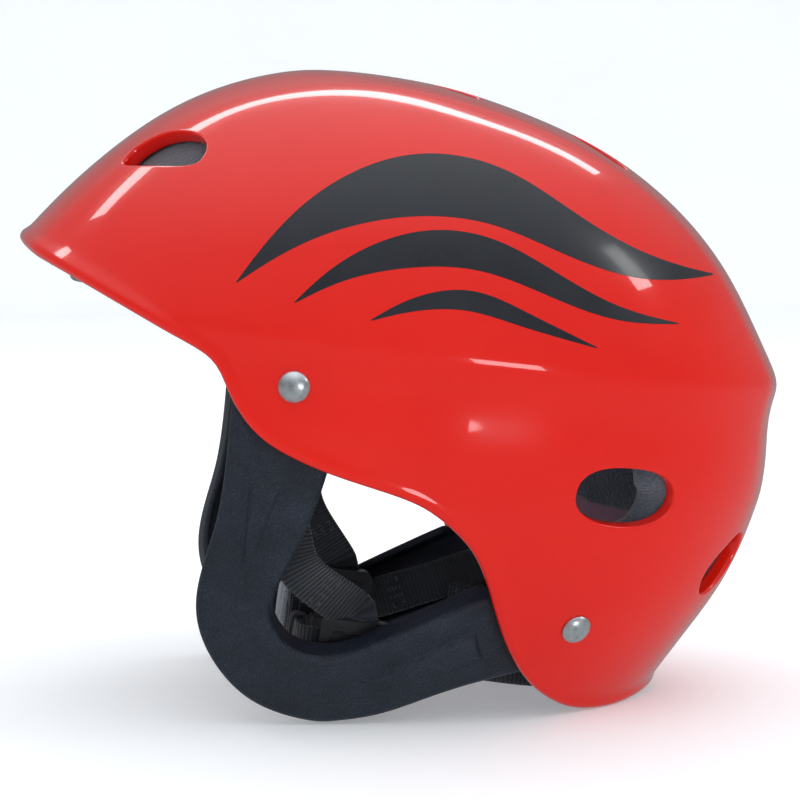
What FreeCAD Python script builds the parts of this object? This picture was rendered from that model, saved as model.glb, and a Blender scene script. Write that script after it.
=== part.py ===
import FreeCAD, Part
import math
import os
import Sketcher
from FreeCAD import Placement, Rotation, Vector

# Water helmet.  Everything is drawn in the helmet's own upright frame, in millimetres:
# +X is the wearer's left, +Y the rear and +Z up, with the brow-to-nape belt of the shell near Z = 0.
# One placement at the end tips the helmet back onto its ear guards and the shell's rear corners,
# which is how it stands on a table.

os.makedirs("parts", exist_ok=True)
doc = FreeCAD.newDocument("water_helmet")

# ---------------------------------------------------------------- driving dimensions

DIMENSIONS = {
    "tip_back_angle": 7.5,
    "stand_height": 135.0,
    "shell_wall": 4.0,
    "liner_gap": 0.5,
    "liner_thickness": 10.5,
    "guard_gap": 0.35,
    "guard_wall": 3.0,
    "guard_flange_depth": 12.0,
    "guard_flange_width": 3.0,
    "guard_emboss": 1.2,
    "rivet_head_width": 11.0,
    "rivet_head_rise": 2.6,
    "rivet_shank_width": 4.8,
    "rivet_shank_length": 11.4,
    "rivet_seat_gap": 0.3,
    "rivet_tail_width": 7.2,
    "rivet_tail_rise": 1.3,
    "rivet_hole_width": 5.2,
    "washer_width": 12.0,
    "washer_thickness": 1.0,
    "web_width": 16.0,
    "web_thickness": 1.5,
    "divider_length": 26.0,
    "divider_height": 25.0,
    "divider_thickness": 8.0,
    "slot_clearance": 0.4,
    "slot_depth": 6.8,
    "slot_offset": 1.7,
    "bar_clearance": 0.7,
    "layer_gap": 0.3,
    "buckle_width": 24.0,
    "buckle_thickness": 9.0,
    "buckle_wall": 1.9,
    "socket_length": 26.0,
    "socket_cavity": 21.0,
    "bar_width": 3.0,
    "web_slot": 4.2,
    "plug_base": 5.0,
    "prong_length": 17.5,
    "prong_width": 2.6,
    "tongue_width": 4.4,
    "tongue_length": 15.0,
    "window_length": 11.0,
    "prong_gap": 0.3,
    "chin_pad_length": 27.5,
    "chin_pad_height": 25.0,
    "chin_pad_depth": 12.5,
    "keeper_length": 5.5,
    "keeper_wall": 1.6,
    "adjuster_length": 24.0,
    "adjuster_height": 20.0,
    "adjuster_thickness": 3.0,
}

sheet = doc.addObject("Spreadsheet::Sheet", "Dims")
for row, (alias, value) in enumerate(DIMENSIONS.items(), start=1):
    sheet.set(f"A{row}", alias.replace("_", " "))
    sheet.set(f"B{row}", str(value))
    sheet.setAlias(f"B{row}", alias)
doc.recompute()


def dim(alias):
    """A driving dimension, read back from the sheet."""
    return float(sheet.get(alias))


# ---------------------------------------------------------------- the head form surface

# Level curves of the shell from crown to below the chin: height, centre along Y,
# half length, half width and squareness of each super-ellipse.
CROWN_TO_HEM = [
    (91.8, -21.6, 0.0, 0.0, 2.00),
    (90.7, -19.9, 23.0, 20.2, 2.00),
    (87.9, -17.6, 38.8, 35.9, 2.00),
    (83.0, -14.2, 56.2, 50.1, 2.03),
    (75.7, -10.5, 74.5, 64.0, 2.08),
    (65.7, -8.0, 91.5, 76.0, 2.12),
    (52.9, -6.1, 107.3, 86.5, 2.16),
    (38.2, -5.5, 121.3, 94.6, 2.20),
    (23.5, -5.8, 132.3, 100.4, 2.20),
    (10.3, -6.1, 141.1, 104.3, 2.20),
    (2.5, -6.0, 145.8, 106.2, 2.20),
    (-3.0, -5.9, 147.5, 107.3, 2.20),
    (-9.0, -5.5, 146.3, 106.6, 2.20),
    (-18.0, -5.1, 145.5, 106.0, 2.20),
    (-31.0, -4.9, 146.5, 106.4, 2.20),
    (-42.0, -5.2, 146.6, 106.1, 2.20),
    (-49.0, -5.9, 146.1, 104.9, 2.20),
    (-60.0, -6.9, 144.7, 102.2, 2.20),
    (-78.0, -9.9, 141.9, 97.2, 2.20),
    (-97.0, -13.9, 135.8, 91.6, 2.20),
    (-115.0, -17.9, 129.8, 85.6, 2.20),
    (-133.0, -21.9, 125.0, 79.6, 2.20),
    (-160.0, -27.9, 121.5, 70.6, 2.20),
    (-190.0, -34.0, 117.5, 60.9, 2.20),
]
COLUMN_PARITY = (1, 1, -1, -1, 1)      # how each column continues over the crown
LAST_LEVEL = 21.6                      # where the surface is cut off, well below the shell
SMOOTHING_PASSES = 3                   # the inner faces ignore the belt ridge and the creases

RIDGE_SPREAD = 46.0                    # the two crown ridges run at this X
RIDGE_HEIGHT = 1.4
RIDGE_FLANK = 13.0
RIDGE_ROUND = 3.5
RIDGE_END_HEIGHT = -30.0
RIDGE_END_BLEND = 8.0


def padded_column(values, parity):
    """Control values of one column, mirrored over the crown and run on past the hem."""
    head = [parity * values[2], parity * values[1]]
    last = values[-1]
    before = values[-2]
    column = head + list(values) + [2 * last - before, 3 * last - 2 * before]
    sharp = list(column)
    for i in range(1, len(column) - 1):
        bend = column[i - 1] - 2 * column[i] + column[i + 1]
        sharp[i] = column[i] - bend / 6.0
    return sharp


def smoothed(values, passes):
    """The column with its small ridges averaged away, keeping the crown as it is."""
    result = list(values)
    for _ in range(passes):
        source = list(result)
        for i in range(6, len(result) - 1):
            result[i] = 0.25 * source[i - 1] + 0.5 * source[i] + 0.25 * source[i + 1]
    return result


def control_columns(passes):
    columns = []
    for k, parity in enumerate(COLUMN_PARITY):
        values = [level[k] for level in CROWN_TO_HEM]
        if k in (2, 3):
            values = smoothed(values, passes)
        columns.append(padded_column(values, parity))
    return columns


OUTER_COLUMNS = control_columns(0)
INNER_COLUMNS = control_columns(SMOOTHING_PASSES)


def column_value(column, level):
    """Uniform cubic B-spline value at a level number, 0 at the crown."""
    i = min(int(level), len(CROWN_TO_HEM) - 1)
    u = level - i
    c = column[i + 1:i + 5]
    while len(c) < 4:
        c = c + [c[-1]]
    b0 = (1 - u) ** 3 / 6
    b1 = (3 * u ** 3 - 6 * u ** 2 + 4) / 6
    b2 = (-3 * u ** 3 + 3 * u ** 2 + 3 * u + 1) / 6
    b3 = u ** 3 / 6
    return b0 * c[0] + b1 * c[1] + b2 * c[2] + b3 * c[3]


def signed_power(value, power):
    return math.copysign(abs(value) ** power, value)


def form_point(angle, level, columns):
    """A point of the plain form: angle 0 is the rear, 90 degrees the wearer's left."""
    height, centre, half_long, half_wide, square = [column_value(c, level) for c in columns]
    x = half_wide * signed_power(math.sin(angle), 2 / square)
    y = centre + half_long * signed_power(math.cos(angle), 2 / square)
    return Vector(x, y, height)


def form_normal(angle, level, columns):
    """Outward unit normal of the plain form."""
    step = 1e-3
    level = max(level, 0.02)
    around = form_point(angle + step, level, columns) - form_point(angle - step, level, columns)
    down = form_point(angle, level + step, columns) - form_point(angle, level - step, columns)
    normal = around.cross(down)
    normal.normalize()
    outward = form_point(angle, level, columns) - Vector(0, -3, -20)
    if normal.dot(outward) < 0:
        normal = normal * -1
    return normal


def ridge_rise(point):
    """How far the two crown ridges lift the outer face."""
    side = abs(point.x) - RIDGE_SPREAD
    flank = math.sqrt(side * side + RIDGE_ROUND ** 2) - RIDGE_ROUND
    fade = 1 / (1 + math.exp(-(point.z - RIDGE_END_HEIGHT) / RIDGE_END_BLEND))
    return RIDGE_HEIGHT * math.exp(-flank / RIDGE_FLANK) * fade


def skin_point(angle, level, depth):
    """A point at a depth below the shell's outer face; depth 0 carries the ridges."""
    columns = OUTER_COLUMNS if depth == 0 else INNER_COLUMNS
    point = form_point(angle, level, columns)
    if level < 0.02:
        return Vector(0, point.y, point.z - depth)
    rise = ridge_rise(point) if depth == 0 else 0.0
    return point + form_normal(angle, level, columns) * (rise - depth)


def level_at_height(height):
    """The level number at which the form has this height."""
    low = 0.0
    high = LAST_LEVEL
    for _ in range(40):
        middle = (low + high) / 2
        if column_value(OUTER_COLUMNS[0], middle) > height:
            low = middle
        else:
            high = middle
    return (low + high) / 2


def side_spot(y, height, side=1):
    """Point and outward normal of the outer form seen from the side at (y, height)."""
    level = level_at_height(height)
    centre, half_long, half_wide, square = [column_value(c, level) for c in OUTER_COLUMNS[1:]]
    along = max(-1.0, min(1.0, (y - centre) / half_long))
    across = (1 - abs(along) ** square) ** (1 / square)
    angle = math.atan2(signed_power(across, square / 2), signed_power(along, square / 2))
    point = form_point(angle, level, OUTER_COLUMNS)
    normal = form_normal(angle, level, OUTER_COLUMNS)
    if side < 0:
        point.x = -point.x
        normal.x = -normal.x
    return point, normal


def rear_spot(x, height):
    """The same for a place given by its X on the rear half."""
    level = level_at_height(height)
    square = column_value(OUTER_COLUMNS[4], level)
    across = abs(x) / column_value(OUTER_COLUMNS[3], level)
    along = (1 - across ** square) ** (1 / square)
    angle = math.atan2(signed_power(across, square / 2), along ** (square / 2))
    point = form_point(angle, level, OUTER_COLUMNS)
    normal = form_normal(angle, level, OUTER_COLUMNS)
    return point, normal


def side_depth(y, height, depth, side=1):
    """A point at a depth below the skin, seen from the side at about (y, height)."""
    point, normal = side_spot(y, height, side)
    return point - normal * depth


# ---------------------------------------------------------------- solids built from the form

AROUND = 56                            # points round each level curve of a skin
LEVELS = 40                            # level curves of a skin
HALF_SPAN = 150.0                      # reaches past the helmet's side
INSET_PLACES = 90
REST = Placement(Vector(0, 0, dim("stand_height")), Rotation(Vector(1, 0, 0), -dim("tip_back_angle")))
KEPT = []                              # every sub-part, in the order made


def dome(depth):
    """The closed solid under the form, its skin moved inwards by a depth."""
    last = LAST_LEVEL + (0.3 if depth else 0.0)
    rows = []
    for i in range(LEVELS + 1):
        level = last * (0.006 + 0.994 * i / LEVELS)
        row = [skin_point(2 * math.pi * j / AROUND, level, depth) for j in range(AROUND)]
        rows.append(row + [row[0]])
    surface = Part.BSplineSurface()
    surface.interpolate(rows)
    skin = surface.toShape()
    caps = []
    for row in (rows[0], rows[-1]):
        ring = Part.Wire([edge for edge in skin.Edges if is_ring(edge, row)])
        caps.append(Part.makeFilledFace([ring.Edges[0]]) if not flat(row) else Part.Face(ring))
    return Part.makeSolid(Part.makeShell([skin] + caps))


def is_ring(edge, row):
    middle = sum((p for p in row[:-1]), Vector()) * (1.0 / (len(row) - 1))
    return edge.isClosed() and abs(edge.CenterOfMass.z - middle.z) < 3.0


def flat(row):
    heights = [p.z for p in row]
    return max(heights) - min(heights) < 1e-7


def region(corners, curve=None):
    """A side-view area run right across the helmet: a curve, then straight corners, closed."""
    edges = []
    outline = list(corners)
    if curve:
        spline = Part.BSplineCurve()
        spline.interpolate([Vector(-HALF_SPAN, y, z) for y, z in curve])
        edges.append(spline.toShape())
        outline = [curve[-1]] + outline + [curve[0]]
    else:
        outline = outline + [outline[0]]
    for (y0, z0), (y1, z1) in zip(outline, outline[1:]):
        edges.append(Part.makeLine(Vector(-HALF_SPAN, y0, z0), Vector(-HALF_SPAN, y1, z1)))
    return Part.Face(Part.Wire(edges)).extrude(Vector(2 * HALF_SPAN, 0, 0))


def blob(points, inset=0.0, start=-1.0):
    """A closed smooth side-view outline, or its inset copy, run from the middle to the +X side."""
    spline = Part.BSplineCurve()
    spline.interpolate([Vector(start, y, z) for y, z in points], PeriodicFlag=True)
    if inset:
        spline = inset_curve(spline, inset)
    return Part.Face(Part.Wire(spline.toShape())).extrude(Vector(HALF_SPAN, 0, 0))


def inset_curve(spline, inset):
    """A parallel curve inside a closed side-view curve."""
    first = spline.FirstParameter
    span = spline.LastParameter - first
    places = [first + span * i / INSET_PLACES for i in range(INSET_PLACES)]
    moved = []
    for place in places:
        inwards = Vector(1, 0, 0).cross(spline.tangent(place)[0])
        moved.append(spline.value(place) + inwards * inset)
    parallel = Part.BSplineCurve()
    parallel.interpolate(moved, PeriodicFlag=True)
    return parallel


def feature(name, shape):
    """A sub-part whose shape is worked out here, set down in the rest pose."""
    item = doc.addObject("Part::Feature", name)
    item.Label = name
    item.Shape = shape
    item.Placement = REST.multiply(item.Placement)
    KEPT.append(item)
    return item


def only_solid(shape):
    """The largest solid of a boolean's result."""
    return max(shape.Solids, key=lambda solid: solid.Volume)



def above_table():
    """Everything above the table, seen from the upright frame."""
    block = Part.makeBox(600, 600, 400, Vector(-300, -300, 0))
    block.Placement = REST.inverse()
    return block


# ---------------------------------------------------------------- fixing points

FRONT_RIVET = (-40.7, -19.0)
REAR_RIVET = (69.0, -93.0)
SIDES = {"left": 1, "right": -1}


def rivet_frames():
    """Placements of the four rivets, +Z outwards along the skin's normal."""
    frames = []
    for side in SIDES.values():
        for spot in (FRONT_RIVET, REAR_RIVET):
            point, normal = side_spot(*spot, side)
            seat = point + normal * dim("rivet_seat_gap")
            frames.append(Placement(seat, Rotation(Vector(0, 0, 1), normal)))
    return frames


def rivet_bores(side=None):
    """Cylinders that clear the rivet shanks."""
    bores = []
    for frame in rivet_frames():
        if side is None or frame.Base.x * side > 0:
            bore = Part.makeCylinder(dim("rivet_hole_width") / 2, 40, Vector(0, 0, -30))
            bore.Placement = frame
            bores.append(bore)
    return bores


# ---------------------------------------------------------------- shell

# Lower edge seen from the side: brim, cheek, ear cut-out, rear lobe and nape.
BRIM_AND_HEM = [
    (-160.0, 22.4), (-141.5, 15.2), (-125.0, 9.2), (-109.5, 3.4), (-91.7, -3.7), (-78.0, -9.2),
    (-69.5, -13.8), (-64.5, -19.8), (-60.8, -26.0), (-53.8, -34.2), (-42.9, -41.0),
    (-24.4, -46.6), (-0.7, -51.3), (13.5, -56.6), (24.6, -64.6), (31.6, -73.2), (36.6, -83.0),
    (41.5, -94.0), (47.8, -105.2), (55.8, -114.6), (64.5, -120.6), (75.0, -124.4),
    (88.0, -124.6), (98.0, -122.6), (106.0, -120.0), (114.0, -117.6), (130.0, -115.0),
]
VENTS = {
    # name: (X of a rear vent or Y of any other, height, seen from, long, short, tilt in degrees)
    "front": (-94.4, 54.7, "side", 37.0, 18.0, 10.0),
    "top": (8.0, 90.0, "top", 24.0, 12.0, 90.0),
    "crest": (62.0, 71.0, "top", 26.0, 14.0, 90.0),
    "side": (78.7, -44.0, "side", 41.0, 22.0, 0.0),
    "nape": (42.5, -68.5, "rear", 30.0, 20.0, 42.0),
}
TOP_VENT_SPREAD = {"top": 20.0, "crest": 27.0}
VENT_SQUARENESS = 2.3


def vent_frame(name):
    """Centre, outward normal and the two in-plane directions of a vent on the +X side."""
    place, height, view, long, short, tilt = VENTS[name]
    if view == "side":
        point, normal = side_spot(place, height)
    elif view == "rear":
        point, normal = rear_spot(place, height)
    else:
        point, normal = top_spot(TOP_VENT_SPREAD[name], place)
    level = Vector(0, 0, 1).cross(normal)
    level.normalize()
    up = normal.cross(level)
    turn = math.radians(tilt)
    along = level * math.cos(turn) + up * math.sin(turn)
    across = normal.cross(along)
    return point, normal, along, across


def top_spot(x, y):
    """Point and outward normal of the crown seen from above at (x, y)."""
    low = 0.05
    high = 10.0
    for _ in range(40):
        middle = (low + high) / 2
        centre, half_long, half_wide, square = [column_value(c, middle) for c in OUTER_COLUMNS[1:]]
        inside = abs(x / half_wide) ** square + abs((y - centre) / half_long) ** square
        if inside > 1:
            low = middle
        else:
            high = middle
    centre, half_long, half_wide, square = [column_value(c, low) for c in OUTER_COLUMNS[1:]]
    sine = abs(x / half_wide) ** (square / 2)
    cosine = signed_power((y - centre) / half_long, square / 2)
    angle = math.atan2(sine, cosine)
    return form_point(angle, low, OUTER_COLUMNS), form_normal(angle, low, OUTER_COLUMNS)


def vent_cutter(name, side):
    """A rounded slot-shaped plug along the skin's normal."""
    point, normal, along, across = vent_frame(name)
    long, short = VENTS[name][3:5]
    rim = []
    for i in range(24):
        turn = 2 * math.pi * i / 24
        u = long / 2 * signed_power(math.cos(turn), 2 / VENT_SQUARENESS)
        v = short / 2 * signed_power(math.sin(turn), 2 / VENT_SQUARENESS)
        rim.append(point + along * u + across * v - normal * 14)
    spline = Part.BSplineCurve()
    spline.interpolate(rim, PeriodicFlag=True)
    plug = Part.Face(Part.Wire(spline.toShape())).extrude(normal * 28)
    return plug if side > 0 else plug.mirror(Vector(), Vector(1, 0, 0))


def make_shell():
    wall = dome(0).cut(dome(dim("shell_wall")))
    body = wall.common(region([(160.0, 120.0), (-160.0, 120.0)], BRIM_AND_HEM))
    body = body.common(above_table())
    cutters = [vent_cutter(name, side) for name in VENTS for side in SIDES.values()]
    feature("shell", only_solid(body.cut(cutters + rivet_bores())))


# ---------------------------------------------------------------- foam liner

def liner_slice(area, outer=None, inner=None):
    """The layer of foam between two depths, inside a side-view area."""
    outer = outer or dim("shell_wall") + dim("liner_gap")
    inner = inner or dim("shell_wall") + dim("liner_gap") + dim("liner_thickness")
    return dome(outer).common(area).cut(dome(inner))


BROW_EDGE = [(-150.0, 14.6), (-125.0, 5.2), (-109.5, -0.6), (-91.7, -8.0), (-80.0, -13.5), (-72.0, -18.5)]
BROW_BACK = [(-67.5, -10.0), (-66.0, 20.0), (-64.0, 50.0), (-64.0, 72.0), (-150.0, 72.0)]
REAR_AREA = [(58.0, -58.0), (58.0, -74.0), (150.0, -74.0), (150.0, 44.0), (84.0, 44.0), (80.0, 38.0),
             (80.0, -58.0)]
SIDE_AREA = [(-18.0, -32.0), (-12.0, -38.0), (50.0, -38.0), (57.0, -30.0), (57.0, 34.0), (50.0, 41.0),
             (-10.0, 41.0), (-18.0, 33.0)]
NAPE_WRAP = [(58.0, -98.5), (150.0, -98.5), (150.0, -79.0), (58.0, -79.0)]
NAPE_CORE = [(92.0, -98.5), (150.0, -98.5), (150.0, -79.0), (92.0, -79.0)]
NAPE_FACE_DEPTH = 12.6
NAPE_BACK_DEPTH = 20.0


CROWN_PAD_HALF = (50.0, 58.0)
CROWN_PAD_CENTRE = -3.0
CROWN_PAD_SQUARENESS = 2.6


def crown_area():
    """The round-ended crown pad seen from above."""
    rim = []
    for i in range(24):
        turn = 2 * math.pi * i / 24
        x = CROWN_PAD_HALF[0] * signed_power(math.sin(turn), 2 / CROWN_PAD_SQUARENESS)
        y = CROWN_PAD_HALF[1] * signed_power(math.cos(turn), 2 / CROWN_PAD_SQUARENESS)
        rim.append(Vector(x, CROWN_PAD_CENTRE + y, 20.0))
    spline = Part.BSplineCurve()
    spline.interpolate(rim, PeriodicFlag=True)
    return Part.Face(Part.Wire(spline.toShape())).extrude(Vector(0, 0, 120))


def half(side):
    return Part.makeBox(HALF_SPAN, 400, 400, Vector(0 if side > 0 else -HALF_SPAN, -200, -200))


def make_liner():
    brow = liner_slice(region(BROW_BACK, BROW_EDGE))
    feature("liner_brow_pad", only_solid(brow))
    feature("liner_crown_pad", only_solid(liner_slice(crown_area())))
    feature("liner_rear_pad", only_solid(liner_slice(region(REAR_AREA))))
    for name, side in SIDES.items():
        pad = liner_slice(region(SIDE_AREA)).common(half(side))
        feature(f"liner_{name}_pad", only_solid(pad))
    wrap = liner_slice(region(NAPE_WRAP), NAPE_FACE_DEPTH, NAPE_BACK_DEPTH)
    core = liner_slice(region(NAPE_CORE), None, NAPE_BACK_DEPTH)
    feature("liner_nape_pad", only_solid(wrap.fuse(core).removeSplitter()))


# ---------------------------------------------------------------- ear guards

# Outline of the guard seen from the side: front arm, chin corner, rear arm and the ear opening.
GUARD_OUTLINE = [
    (-62.3, -22.0), (-61.8, -38.0), (-61.4, -55.0), (-62.0, -70.0), (-64.0, -83.0), (-65.4, -95.0),
    (-64.4, -106.0), (-59.5, -117.0), (-50.0, -128.0), (-36.0, -136.2), (-19.0, -139.3),
    (-8.0, -138.0), (6.0, -134.0), (22.0, -126.5), (38.0, -119.6), (54.0, -114.4), (68.0, -109.5),
    (79.0, -102.5), (80.5, -89.0), (69.0, -79.5), (52.0, -80.0), (36.0, -86.8), (21.0, -95.0),
    (6.0, -103.6), (-8.0, -111.4), (-21.0, -114.4), (-32.0, -110.6), (-38.2, -102.0),
    (-37.8, -90.0), (-32.6, -78.0), (-28.8, -64.0), (-25.9, -48.0), (-24.6, -30.0),
    (-28.5, -12.0), (-41.0, -5.5), (-55.5, -9.0),
]
# The area behind the shell, where the guard is a plain wall with no flanges.
COVERED_AREA = [(-100.0, -50.0), (-22.0, -55.0), (10.0, -66.0), (19.0, -78.0), (27.0, -92.0),
                (33.0, -108.0), (36.0, -150.0), (120.0, -150.0), (120.0, 20.0), (-100.0, 20.0)]
FRONT_EMBOSS = [(-51.5, -53.5), (-41.0, -54.5), (-42.6, -62.0), (-45.4, -74.0), (-50.3, -93.0)]
REAR_EMBOSS = [(-5.2, -123.0), (15.0, -110.6), (34.0, -99.0), (38.5, -109.0), (14.0, -118.6)]


def make_guard():
    """The +X guard: a wall that follows the shell, with flanges turned inwards all round."""
    outer = dim("shell_wall") + dim("guard_gap")
    inner = outer + dim("guard_wall")
    block = dome(outer).common(blob(GUARD_OUTLINE)).cut(dome(outer + dim("guard_flange_depth")))
    hollow = blob(GUARD_OUTLINE, dim("guard_flange_width"), -2.0).fuse(region(COVERED_AREA))
    guard = block.cut(dome(inner).common(hollow))
    raised = dome(outer - dim("guard_emboss")).common(half(1))
    for outline in (FRONT_EMBOSS, REAR_EMBOSS):
        guard = guard.fuse(raised.common(region(outline)).cut(dome(inner - 1.0)))
    return only_solid(guard.common(above_table()).cut(rivet_bores(1)))


def make_guards():
    guard = make_guard()
    feature("left_ear_guard", guard)
    feature("right_ear_guard", guard.mirror(Vector(), Vector(1, 0, 0)))


# ---------------------------------------------------------------- sketch helpers

def origin_plane(body, role):
    return next(plane for plane in body.Origin.OriginFeatures if plane.Role == role)


def new_sketch(body, name, role, shift):
    """A sketch on one of the body's origin planes, shifted by expressions in its own axes."""
    sketch = body.newObject("Sketcher::SketchObject", name)
    sketch.AttachmentSupport = [(origin_plane(body, role), "")]
    sketch.MapMode = "FlatFace"
    for axis, expression in zip("xyz", shift):
        if expression:
            sketch.setExpression(f".AttachmentOffset.Base.{axis}", expression)
    return sketch


def named(sketch, constraint, name, expression):
    index = sketch.addConstraint(constraint)
    sketch.renameConstraint(index, name)
    sketch.setExpression(f".Constraints.{name}", expression)


def rectangle(body, name, role, wide, high, shift=("", "", "")):
    """A rectangle centred on its sketch's origin."""
    sketch = new_sketch(body, name, role, shift)
    corners = [Vector(-6, -4, 0), Vector(6, -4, 0), Vector(6, 4, 0), Vector(-6, 4, 0)]
    for i in range(4):
        sketch.addGeometry(Part.LineSegment(corners[i], corners[(i + 1) % 4]))
    for i in range(4):
        sketch.addConstraint(Sketcher.Constraint("Coincident", i, 2, (i + 1) % 4, 1))
        sketch.addConstraint(Sketcher.Constraint("Vertical" if i % 2 else "Horizontal", i))
    sketch.addConstraint(Sketcher.Constraint("Symmetric", 0, 1, 2, 1, -1, 1))
    named(sketch, Sketcher.Constraint("DistanceX", 0, 1, 0, 2, 12.0), "wide", wide)
    named(sketch, Sketcher.Constraint("DistanceY", 1, 1, 1, 2, 8.0), "high", high)
    return sketch


def circle(body, name, diameter, shift=("", "", "")):
    """A circle centred on its sketch's origin, on the XY plane."""
    sketch = new_sketch(body, name, "XY_Plane", shift)
    sketch.addGeometry(Part.Circle(Vector(), Vector(0, 0, 1), 5))
    sketch.addConstraint(Sketcher.Constraint("Coincident", 0, 3, -1, 1))
    named(sketch, Sketcher.Constraint("Diameter", 0, 10.0), "diameter", diameter)
    return sketch


def pad(body, sketch, length, side="One side", reverse=False):
    step = body.newObject("PartDesign::Pad", sketch.Name + "_pad")
    step.Profile = sketch
    step.SideType = side
    step.Reversed = reverse
    step.setExpression("Length", length)
    doc.recompute()
    return step


def pocket(body, sketch, length):
    """A cut that reaches half of its length to each side of the sketch."""
    before = body.Shape.Volume
    step = body.newObject("PartDesign::Pocket", sketch.Name + "_pocket")
    step.Profile = sketch
    step.SideType = "Symmetric"
    step.setExpression("Length", length)
    doc.recompute()
    if body.Shape.Volume > before - 1e-3:
        raise RuntimeError(f"{step.Name} cuts nothing")
    return step


def rounded(body, radius, wanted):
    """Fillet the edges of the body's tip that the test picks."""
    tip = body.Tip
    names = [f"Edge{i}" for i, edge in enumerate(tip.Shape.Edges, start=1) if wanted(edge)]
    step = body.newObject("PartDesign::Fillet", f"{body.Name}_round_{len(body.Group)}")
    step.Base = (tip, names)
    step.setExpression("Radius", radius)
    doc.recompute()
    return step


def along_axis(axis):
    """A test for straight edges parallel to an axis, 0 for X, 1 for Y, 2 for Z."""
    def wanted(edge):
        if len(edge.Vertexes) != 2 or edge.Curve.TypeId != "Part::GeomLine":
            return False
        step = edge.Vertexes[1].Point - edge.Vertexes[0].Point
        return abs(step[axis]) > 0.999 * step.Length
    return wanted


def at_height(height):
    """A test for closed round edges at a height."""
    def wanted(edge):
        return edge.isClosed() and abs(edge.CenterOfMass.z - height) < 1e-4
    return wanted


def keep_body(body, label, place=None):
    body.Label = label
    body.Placement = REST.multiply(place or Placement())
    KEPT.append(body)
    return body


# ---------------------------------------------------------------- rivets and washers

def make_rivets():
    """Dome-headed rivets through shell, guard, strap and washer, and the washers themselves."""
    rivet = doc.addObject("PartDesign::Body", "RivetPattern")
    pad(rivet, circle(rivet, "rivet_head", "Dims.rivet_head_width"), "Dims.rivet_head_rise")
    rounded(rivet, "Dims.rivet_head_rise * 0.96", at_height(dim("rivet_head_rise")))
    pad(rivet, circle(rivet, "rivet_shank", "Dims.rivet_shank_width"),
        "Dims.rivet_shank_length", reverse=True)
    tail = circle(rivet, "rivet_tail", "Dims.rivet_tail_width", ("", "", "-Dims.rivet_shank_length"))
    pad(rivet, tail, "Dims.rivet_tail_rise", reverse=True)
    rounded(rivet, "Dims.rivet_tail_rise * 0.7",
            at_height(-dim("rivet_shank_length") - dim("rivet_tail_rise")))
    washer = doc.addObject("PartDesign::Body", "WasherPattern")
    seat = "-Dims.rivet_shank_length"
    pad(washer, circle(washer, "washer_disc", "Dims.washer_width", ("", "", seat)),
        "Dims.washer_thickness")
    pocket(washer, circle(washer, "washer_bore", "Dims.rivet_hole_width", ("", "", seat)),
           "Dims.washer_thickness * 4")
    for label, pattern in (("shell_rivets", rivet), ("rivet_washers", washer)):
        copies = []
        for frame in rivet_frames():
            copy = pattern.Shape.copy()
            copy.Placement = frame
            copies.append(copy)
        feature(label, Part.makeCompound(copies))


# ---------------------------------------------------------------- webbing

DIVIDER_PLACE = Vector(61.8, -6.0, -114.0)
SLOT_LINES = {
    # lean in degrees from straight up (front) or straight back (rear), and the Y and Z where
    # the strap's line crosses the divider's middle
    "front": (25.0, 4.5, 0.0),
    "rear": (18.0, 0.0, -3.0),
}
SLOT_REACHES = (18.0, 14.0, 10.5, 7.6)  # knots of a strap's straight last run
CHIN_LINE = (-24.0, -114.0)            # Y and Z of the straight run under the chin
BUCKLE_MOUTH = 19.3                    # X of the socket's open end
EASE = 4.0                             # corner radius where two layers of webbing part
CHIN_STRAP_INSERT = 5.5                # length of chin strap inside the divider
TAIL_START = 8.0                       # from the plug's bar to where the tail meets the strap
TAIL_LENGTH = 19.0
KEEPER_START = 9.9                     # from the plug's bar
SEWN_LENGTH = 8.0
CHIN_PAD_TRAVEL = 4.0
NAPE_STRAP_HEIGHT = -110.0
# X, Y and corner radius, from the left rear strap to the straight stretch at the back
NAPE_CORNERS = [(60.5, 38.0, 0.0), (62.0, 54.0, 25.0), (56.5, 70.0, 30.0), (43.0, 86.0, 30.0),
                (22.5, 98.3, 10.0)]


def spline_edge(points, parameters):
    spline = Part.BSplineCurve()
    spline.interpolate(Points=points, Parameters=parameters)
    return spline.toShape()


def ribbon(points, across, width, thickness):
    """A flat strap along dense points; across holds its width direction at each point."""
    corners = [[], [], [], []]
    last = len(points) - 1
    for i, point in enumerate(points):
        tangent = points[min(i + 1, last)] - points[max(i - 1, 0)]
        tangent.normalize()
        wide = across[i] - tangent * across[i].dot(tangent)
        wide.normalize()
        thin = tangent.cross(wide)
        for k, (a, b) in enumerate(((-1, -1), (1, -1), (1, 1), (-1, 1))):
            corners[k].append(point + wide * (a * width / 2) + thin * (b * thickness / 2))
    stations = [0.0]
    for before, after in zip(points, points[1:]):
        stations.append(stations[-1] + before.distanceToPoint(after))
    edges = [spline_edge(line, stations) for line in corners]
    faces = [Part.makeRuledSurface(edges[k], edges[(k + 1) % 4], 1) for k in range(4)]
    for end in (0, -1):
        faces.append(Part.Face(Part.makePolygon([line[end] for line in corners] + [corners[0][end]])))
    quilt = Part.makeCompound(faces)
    quilt.sewShape()
    solid = Part.makeSolid(quilt.Shells[0])
    if solid.Volume < 0:
        solid.reverse()
    return solid


def dense(knots, count):
    """Evenly spaced points of the smooth curve through the knots."""
    spline = Part.BSplineCurve()
    spline.interpolate(knots)
    return spline.discretize(Number=count)


def blend_directions(directions, knots, points):
    """The directions given at the knots, turning smoothly along the points between them."""
    marks = [min(range(len(points)), key=lambda i: points[i].distanceToPoint(knot)) for knot in knots]
    result = []
    for i in range(len(points)):
        k = max(j for j in range(len(marks) - 1) if marks[j] <= i)
        share = (i - marks[k]) / max(1, marks[k + 1] - marks[k])
        step = directions[k] * (1 - share) + directions[k + 1] * share
        step.normalize()
        result.append(step)
    return result


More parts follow.
